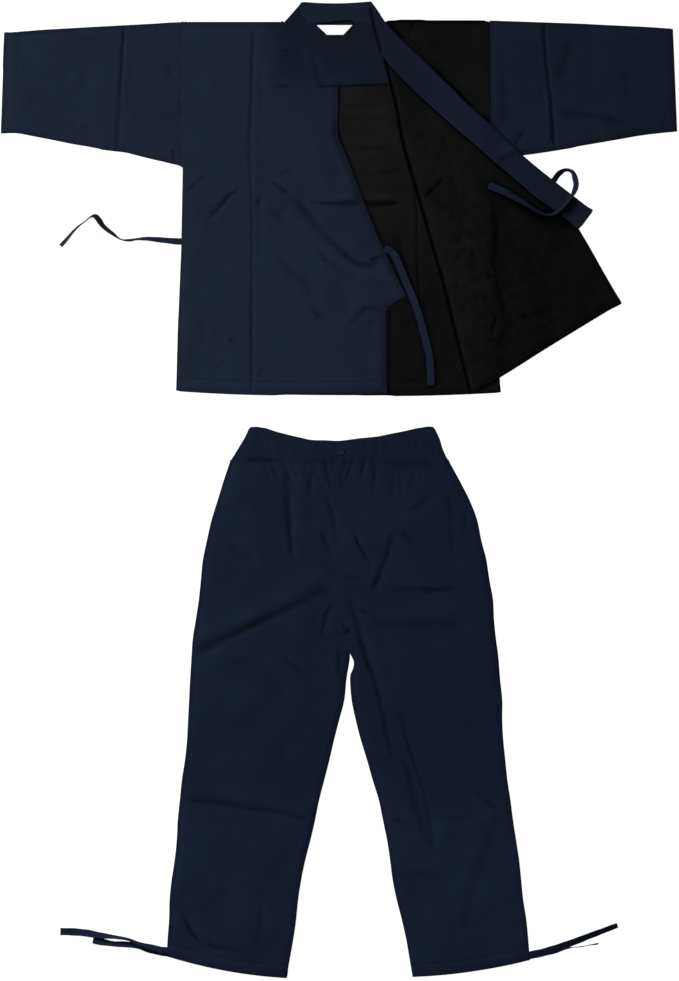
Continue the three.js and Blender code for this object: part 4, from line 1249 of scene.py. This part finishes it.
def twill(name, colour):
    """Navy cotton twill: fine diagonal ribs, uneven yarn, and faint patches where it was handled."""
    nodes = Nodes(name)
    ribs = nodes.bands(0.85, math.radians(52))
    yarn = nodes.noise((1.6, 0.12, 1.6))
    weft = nodes.noise((0.09, 1.4, 1.4))
    patches = nodes.noise((0.011, 0.008, 0.011))
    tone = nodes.total((patches, 0.45), (yarn, 0.25), (weft, 0.2), (ribs, 0.1))
    dark, light = scaled(colour, 0.8), scaled(colour, 1.22)
    nodes.shaded_base(nodes.ramp(tone, [(0.3, dark), (0.5, colour), (0.7, light)]))
    nodes.bump(nodes.total((ribs, 0.6), (yarn, 0.4)), 0.00012, 0.7)
    return nodes.finish(0.85, 0.03, sheen=0.04, tint=scaled(colour, 18))


def plain_weave(name, colour):
    """Smooth black lining: a fine plain weave."""
    nodes = Nodes(name)
    warp = nodes.bands(0.5, 0.0)
    weft = nodes.bands(0.5, math.radians(90))
    patches = nodes.noise((0.014, 0.010, 0.014))
    streaks = nodes.noise((0.3, 0.02, 0.3))
    tone = nodes.total((patches, 0.6), (streaks, 0.4))
    dark, light = scaled(colour, 0.75), scaled(colour, 1.3)
    nodes.shaded_base(nodes.ramp(tone, [(0.3, dark), (0.5, colour), (0.72, light)]))
    nodes.bump(nodes.math("MULTIPLY", warp, weft), 0.00008, 0.6)
    return nodes.finish(0.8, 0.01, sheen=0.006, tint=(0.5, 0.5, 0.5))


def woven_label():
    """White satin label: a close weave, without any lettering."""
    nodes = Nodes("label_white")
    warp = nodes.bands(0.32, 0.0)
    patches = nodes.noise((0.08, 0.08, 0.08), 2)
    nodes.base(nodes.ramp(patches, [(0.3, (0.86, 0.86, 0.85)), (0.7, (0.95, 0.95, 0.94))]))
    nodes.bump(warp, 0.00006, 0.6)
    return nodes.finish(0.55, 0.35, sheen=0.05)


def plastic():
    """Dark glossy button plastic with faint marbling."""
    nodes = Nodes("button_plastic")
    veins = nodes.noise((0.35, 0.9, 0.5), 4)
    nodes.base(nodes.ramp(veins, [(0.4, (0.004, 0.005, 0.009)), (0.6, (0.014, 0.018, 0.03))]))
    nodes.bump(nodes.noise((0.5, 0.5, 0.5), 2), 0.00003, 0.3)
    return nodes.finish(0.4, 0.1)


def thread(name, colour):
    """Sewing thread, with painted shade between its twisted strands."""
    nodes = Nodes(name)
    twist = nodes.bands(0.5, math.radians(35))
    nodes.base(nodes.ramp(twist, [(0.2, scaled(colour, 0.7)), (0.8, scaled(colour, 1.2))]))
    nodes.bump(twist, 0.00005, 0.6)
    return nodes.finish(0.7, 0.06)


def pale_floor():
    """A floor that gives off light, so that it is as white as in the cut-out."""
    nodes = Nodes("floor_white")
    patches = nodes.noise((0.004, 0.004, 0.004), 2)
    nodes.base(nodes.ramp(patches, [(0.3, (0.11, 0.11, 0.11)), (0.7, (0.12, 0.12, 0.12))]))
    nodes.shader.inputs["Emission Color"].default_value = (1, 1, 1, 1)
    nodes.shader.inputs["Emission Strength"].default_value = 0.97
    return nodes.finish(0.95, 0.0)


MATERIALS = {  # by slot
    "navy_jacket": twill("navy_twill_jacket", (0.0066, 0.0098, 0.0193)),
    "navy_trousers": twill("navy_twill_trousers", (0.0055, 0.0087, 0.0203)),
    "lining": plain_weave("lining_black", (0.0056, 0.0056, 0.0058)),
    "label": woven_label(),
    "button": plastic(),
}
THREAD = thread("thread_navy", (0.0062, 0.0095, 0.0190))
WHITE_THREAD = thread("thread_white", (0.8, 0.8, 0.78))

# ---- Pieces ----


def sewn(node, parts, slot, flat_size, held, rests_on, sharp=()):
    """Makes a piece of cloth. Its seam rims are sharp, so that they cast no line."""
    piece = make_object(f"cloth_{node}", *merged(parts), MATERIALS[slot], sharp)
    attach(piece, "root")
    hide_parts(node)
    width, length = flat_size
    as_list(rests_on)


def beside_neck(points):
    """The right collar and the front, level with the facing along the neck's edge."""
    _, down = local(JACKET, points)
    level = bell(distance_to(NECK_EDGE, points), 14) * (1 - span(down, 24, 70))
    return (1 - 0.5 * level) * jacket_field(points) + lining_field(points)


def neck_base(points):
    """The right collar comes down to the band behind the neck at its upper end."""
    _, down = local(JACKET, points)
    return 2 * LAYER - NECK_STEP * (1 - span(down, -22, -2))


def collar_back_field(points):
    """The band behind the neck comes up to the facing that it is sewn to."""
    _, down = local(JACKET, points)
    return 0.4 * jacket_field(points) + NECK_STEP * span(down, -22, -2)


def yoke_field(points):
    """Level with the band behind the neck at its top, and with the right collar further down."""
    _, down = local(JACKET, points)
    field = jacket_field(points)
    return 0.5 * field + (0.5 * field + lining_field(points)) * span(down, 24, 70)


def leg(side, other):
    """The back and the front of one trouser leg."""
    return [
        Surface(f"leg_back_{side}", flat(0.0), None, [f"leg_back_{other}", "waistband"],
                origin=TROUSERS, open_below=CROTCH, step=COARSE_STEP),
        Surface(f"leg_front_{side}", flat(LAYER), trouser_field, [f"leg_front_{other}", "waistband"],
                origin=TROUSERS, open_below=CROTCH),
    ]


SURFACES = {face.node: face for face in [
    Surface("back_shell", flat(0.0), None, step=COARSE_STEP),
    Surface("back_lining", flat(LAYER), lining_field),
    Surface("back_neck_yoke", flat(2 * LAYER), yoke_field, ["collar_right", "collar_back"], bridge=1.0),
    Surface("neck_label", flat(3 * LAYER), lambda p: 0.5 * jacket_field(p), thickness=1.0, step=1.5),
    Surface("front_right", flat(2 * LAYER), lambda p: jacket_field(p) + lining_field(p),
            ["sleeve_right", "collar_right", "collar_back"]),
    Surface("front_left_unturned", flat(2 * LAYER), lambda p: shoulder_field(p) * 0.8, ["sleeve_left"]),
    Surface("front_left_shell", turned(0.0), lambda p: 0.8 * lining_field(p), step=COARSE_STEP),
    Surface("front_left_lining", turned(LAYER), turned_field),
    Surface("sleeve_right",
            by_x([(-650, 1.8), (-473, 1.8), (-414, 2.0), (-360, 2.4), (-330, 2.8), (-301, 3.0)]),
            jacket_field, ["front_right"]),
    Surface("sleeve_left", by_x([(295, 3.0), (325, 2.6), (356, 2.1), (412, 1.9), (470, 1.8), (660, 1.8)]),
            sleeve_left_field, ["front_left_unturned"]),
    Surface("collar_back", flat(0.0), collar_back_field, ["back_neck_yoke", "front_right", "collar_right"],
            thickness=2.4, bridge=0.0),
    Surface("collar_right", neck_base, beside_neck, ["front_right", "collar_back", "back_neck_yoke"]),
    Surface("collar_left", turned(3.4), strip_field, thickness=COLLAR_CLOTH, edge_calm=0.0),
    *leg("right", "left"),
    *leg("left", "right"),
]}
GROUND = ("back_shell", "collar_back", "leg_back_right", "leg_back_left")

# For each node its slot, its flat size in metres, how it is held and what it rests on.
CLOTHS = {
    "back_shell": ("navy_jacket", (0.64, 0.74), "laid", []),
    "back_lining": ("lining", (0.64, 0.74), "laid", ["back_shell"]),
    "back_neck_yoke": ("navy_jacket", (0.16, 0.13), "laid", ["back_lining"]),
    "neck_label": ("label", (0.07, 0.02), "laid", ["back_neck_yoke"]),
    "front_right": ("navy_jacket", (0.42, 0.74), "laid", ["back_lining"]),
    "front_left_unturned": ("lining", (0.23, 0.74), "laid", ["back_lining"]),
    "front_left_shell": ("navy_jacket", (0.34, 0.72), "folded", ["front_left_unturned"]),
    "front_left_lining": ("lining", (0.34, 0.72), "folded", ["front_left_shell"]),
    "sleeve_right": ("navy_jacket", (0.56, 0.37), "folded", []),
    "sleeve_left": ("navy_jacket", (0.56, 0.38), "folded", []),
    "collar_back": ("navy_jacket", (0.20, 0.05), "laid", []),
    "collar_right": ("navy_jacket", (0.075, 0.66), "laid", ["back_neck_yoke", "back_lining"]),
    "collar_left": ("navy_jacket", (0.06, 0.62), "laid", ["front_left_lining", "sleeve_left"]),
    "leg_back_right": ("navy_trousers", (0.33, 1.02), "laid", []),
    "leg_back_left": ("navy_trousers", (0.33, 1.02), "laid", []),
    "leg_front_right": ("navy_trousers", (0.34, 1.02), "laid", ["leg_back_right"]),
    "leg_front_left": ("navy_trousers", (0.34, 1.02), "laid", ["leg_back_left"]),
}


def add_cloths():
    for node, (slot, size, held, rests_on) in CLOTHS.items():
        face = SURFACES[node]
        parts = [slab(face, ground=node in GROUND)]
        layers = 1
        if node.startswith("sleeve"):
            parts += [flatbed(face), roll(face, (0, 1))]
            layers = 2
        area = abs(area_of(face.loop)) * layers * MM * MM
        sewn(node, parts, slot, size, held, rests_on, face.seam_rim)


def band_field(points):
    """Soft gathers across the elastic, which run on into the legs' cloth at the seam."""
    x, down = local(TROUSERS, points)
    rng = np.random.default_rng(61)
    height = np.full(len(points), 0.4)
    at = -205.0
    while at < 210:
        lean = rng.uniform(-0.25, 0.25)
        width = rng.uniform(2.6, 6.0)
        tall = rng.uniform(-0.6, 0.9)
        middle = rng.uniform(-10, 40)
        height += tall * bell(down - middle, 26) * bell(x - at - lean * (down - 10), width)
        at += rng.uniform(5, 15)
    around_button = span(np.hypot(x - 2, down - 21), 8, 18)
    height = 0.5 + (height - 0.5) * around_button
    seam = np.interp(x, *zip(*WAIST_SEAM))
    legs = LAYER + CLOTH - BAND_BASE - BAND_CLOTH + trouser_field(points)
    return height + (legs - height) * span(down, seam - 15, seam - 1)


def add_waistband():
    legs = ["leg_front_right", "leg_front_left"]
    band = Surface("waistband", flat(BAND_BASE), band_field, legs, BAND_CLOTH, TROUSERS, step=2.2)
    parts = [slab(band), flatbed(band), roll(band, (1, 0)), roll(band, (-1, 0))]
    sewn("waistband", parts, "navy_trousers", (0.90, 0.064), "gathered", legs)


def slot_of(origin):
    return "navy_jacket" if origin is JACKET else "navy_trousers"


def add_ties(lines):
    for seed, (node, line) in enumerate(lines.items()):
        length = round(float(length_of(line[:, [0, 1, 3]])) * MM, 3)
        width = TAPE_WIDTH * MM
        slot = slot_of(TIES[node][0])
        sewn(node, [tape(line, seed)], slot, (width, length), "laid", [])


def add_thread(name, rows, material=THREAD):
    piece = make_object(name, *merged(rows), material)
    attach(piece, "root")


def add_stitches(name, slot, tie_lines):
    """The stitches along the seams and the ties that are in one slot."""
    rows = []
    for node in SEAMS:
        if CLOTHS[node][0] == slot:
            face = SURFACES[node]
            rows += [s for line, _ in face.seams for s in seam_stitches(face, line)]
    for node, line in tie_lines.items():
        if slot_of(TIES[node][0]) == slot:
            rows += tape_stitches(line)
    add_thread(name, rows)


# ---- Button and label ----


def button():
    """A four-hole shirt button with a raised rim."""
    points = [(0, 0)]
    radii = np.concatenate((np.arange(0.3, 5.5, 0.26), [5.5, 5.72, BUTTON_RADIUS]))
    count = 64
    for radius in radii:
        turn = np.linspace(0, 2 * math.pi, count, endpoint=False)
        points += list(zip(radius * np.cos(turn), radius * np.sin(turn)))
    plan = np.array(points, float)
    reach = np.hypot(*plan.T)
    z = 1.8 + 0.8 * bell(reach - BUTTON_RIM, 0.55) - 0.5 * span(reach, 5.3, BUTTON_RADIUS)
    for x, y in ((1, 1), (1, -1), (-1, 1), (-1, -1)):
        from_hole = np.hypot(plan[:, 0] - BUTTON_HOLE * x, plan[:, 1] - BUTTON_HOLE * y)
        z -= 1.3 * smooth_step((1.05 - from_hole) / 0.35)
    faces = [(0, 1 + n, 1 + (n + 1) % count) for n in range(count)]
    for ring in range(len(radii) - 1):
        a = 1 + ring * count
        faces += strip([a + n for n in range(count)], [a + count + n for n in range(count)])
    last = 1 + (len(radii) - 1) * count
    base = len(plan)
    foot = np.column_stack((plan[last:] * 0.97, np.zeros(count)))
    faces += strip(list(range(last, last + count)), list(range(base, base + count)))
    faces.append(tuple(reversed(range(base, base + count))))
    shape = np.vstack((np.column_stack((plan, z)), foot))
    return shape + np.array(BUTTON_MIDDLE), faces, np.ones(len(shape))


def button_thread():
    """A cross of thread through the four holes."""
    rows = []
    for x, y in ((1.2, 1.2), (1.2, -1.2)):
        start = np.array((x, y, 1.9))
        across = np.array((-2 * x, -2 * y, 0))
        heading = across / np.linalg.norm(across)
        rows += [stitch(BUTTON_MIDDLE + start + across * t, heading, UP) for t in (0.2, 0.5, 0.8)]
    return rows


def add_button():
    piece = make_object("button_waist", *button(), MATERIALS["button"])
    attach(piece, "root")
    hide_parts("waist_button")
    add_thread("stitches_button", button_thread())


def label_thread():
    """Short stitches all round, just inside the label's edge."""
    face = SURFACES["neck_label"]
    ring = face.loop - outward(face.loop) * 1.8
    rows = []
    for n in range(0, len(ring), 2):
        along = np.append(ring[(n + 1) % len(ring)] - ring[n - 1], 0)
        spot = np.append(ring[n], face.top(ring[n:n + 1])[0] + 0.1)
        rows.append(stitch(spot, along / np.linalg.norm(along) * 0.6, UP))
    return rows


add_cloths()
add_waistband()
TIE_LINES = {node: tape_line(origin, stretches) for node, (origin, stretches) in TIES.items()}
add_ties(TIE_LINES)
add_stitches("stitches_jacket", "navy_jacket", TIE_LINES)
add_stitches("stitches_trousers", "navy_trousers", TIE_LINES)
add_button()
add_thread("stitches_label", label_thread(), WHITE_THREAD)

# ---- Camera, light and floor, in metres ----

LENS = 100
SENSOR = 36
FRAMED = 1.913  # length of the ground that the picture's height takes in
AIM = (0.0005, -0.0016, 0.003)  # what the camera looks straight down at
FLOOR_HALF = 8.0
FLOOR_TOP = -0.0004  # just clear of the undersides


def add_camera():
    camera = add_object("camera", bpy.data.cameras.new("camera"))
    camera.data.lens = LENS
    camera.data.sensor_width = SENSOR
    camera.data.dof.use_dof = False
    camera.location = (AIM[0], AIM[1], FRAMED * LENS / SENSOR + AIM[2])
    bpy.context.scene.camera = camera


def add_lamp(kind, name, location, target, power, **settings):
    light = bpy.data.lights.new(name, kind)
    light.energy = power
    for key, value in settings.items():
        setattr(light, key, value)
    holder = add_object(name, light)
    holder.location = location
    holder.rotation_euler = (Vector(target) - Vector(location)).to_track_quat("-Z", "Y").to_euler()


def light_studio():
    add_lamp("AREA", "key_left", (-2.1, 0.5, 1.35), (0.2, -0.1, 0), 95, shape="RECTANGLE", size=0.7,
             size_y=2.2)
    add_lamp("SUN", "key_above", (-0.5, 1.2, 0.85), (0, 0, 0), 1.9, angle=0.35)
    world = bpy.data.worlds.new("studio")
    world.use_nodes = True
    background = world.node_tree.nodes["Background"]
    background.inputs["Color"].default_value = (1, 1, 1, 1)
    background.inputs["Strength"].default_value = 0.2
    bpy.context.scene.world = world
    bpy.context.scene.view_settings.view_transform = "Standard"


def add_floor():
    mesh = bpy.data.meshes.new("floor")
    corners = [(x * FLOOR_HALF, y * FLOOR_HALF, FLOOR_TOP) for x, y in ((-1, -1), (1, -1), (1, 1), (-1, 1))]
    mesh.from_pydata(corners, [], [(0, 1, 2, 3)])
    mesh.materials.append(pale_floor())
    add_object("floor", mesh)


add_camera()
light_studio()
add_floor()

bpy.context.view_layer.update()
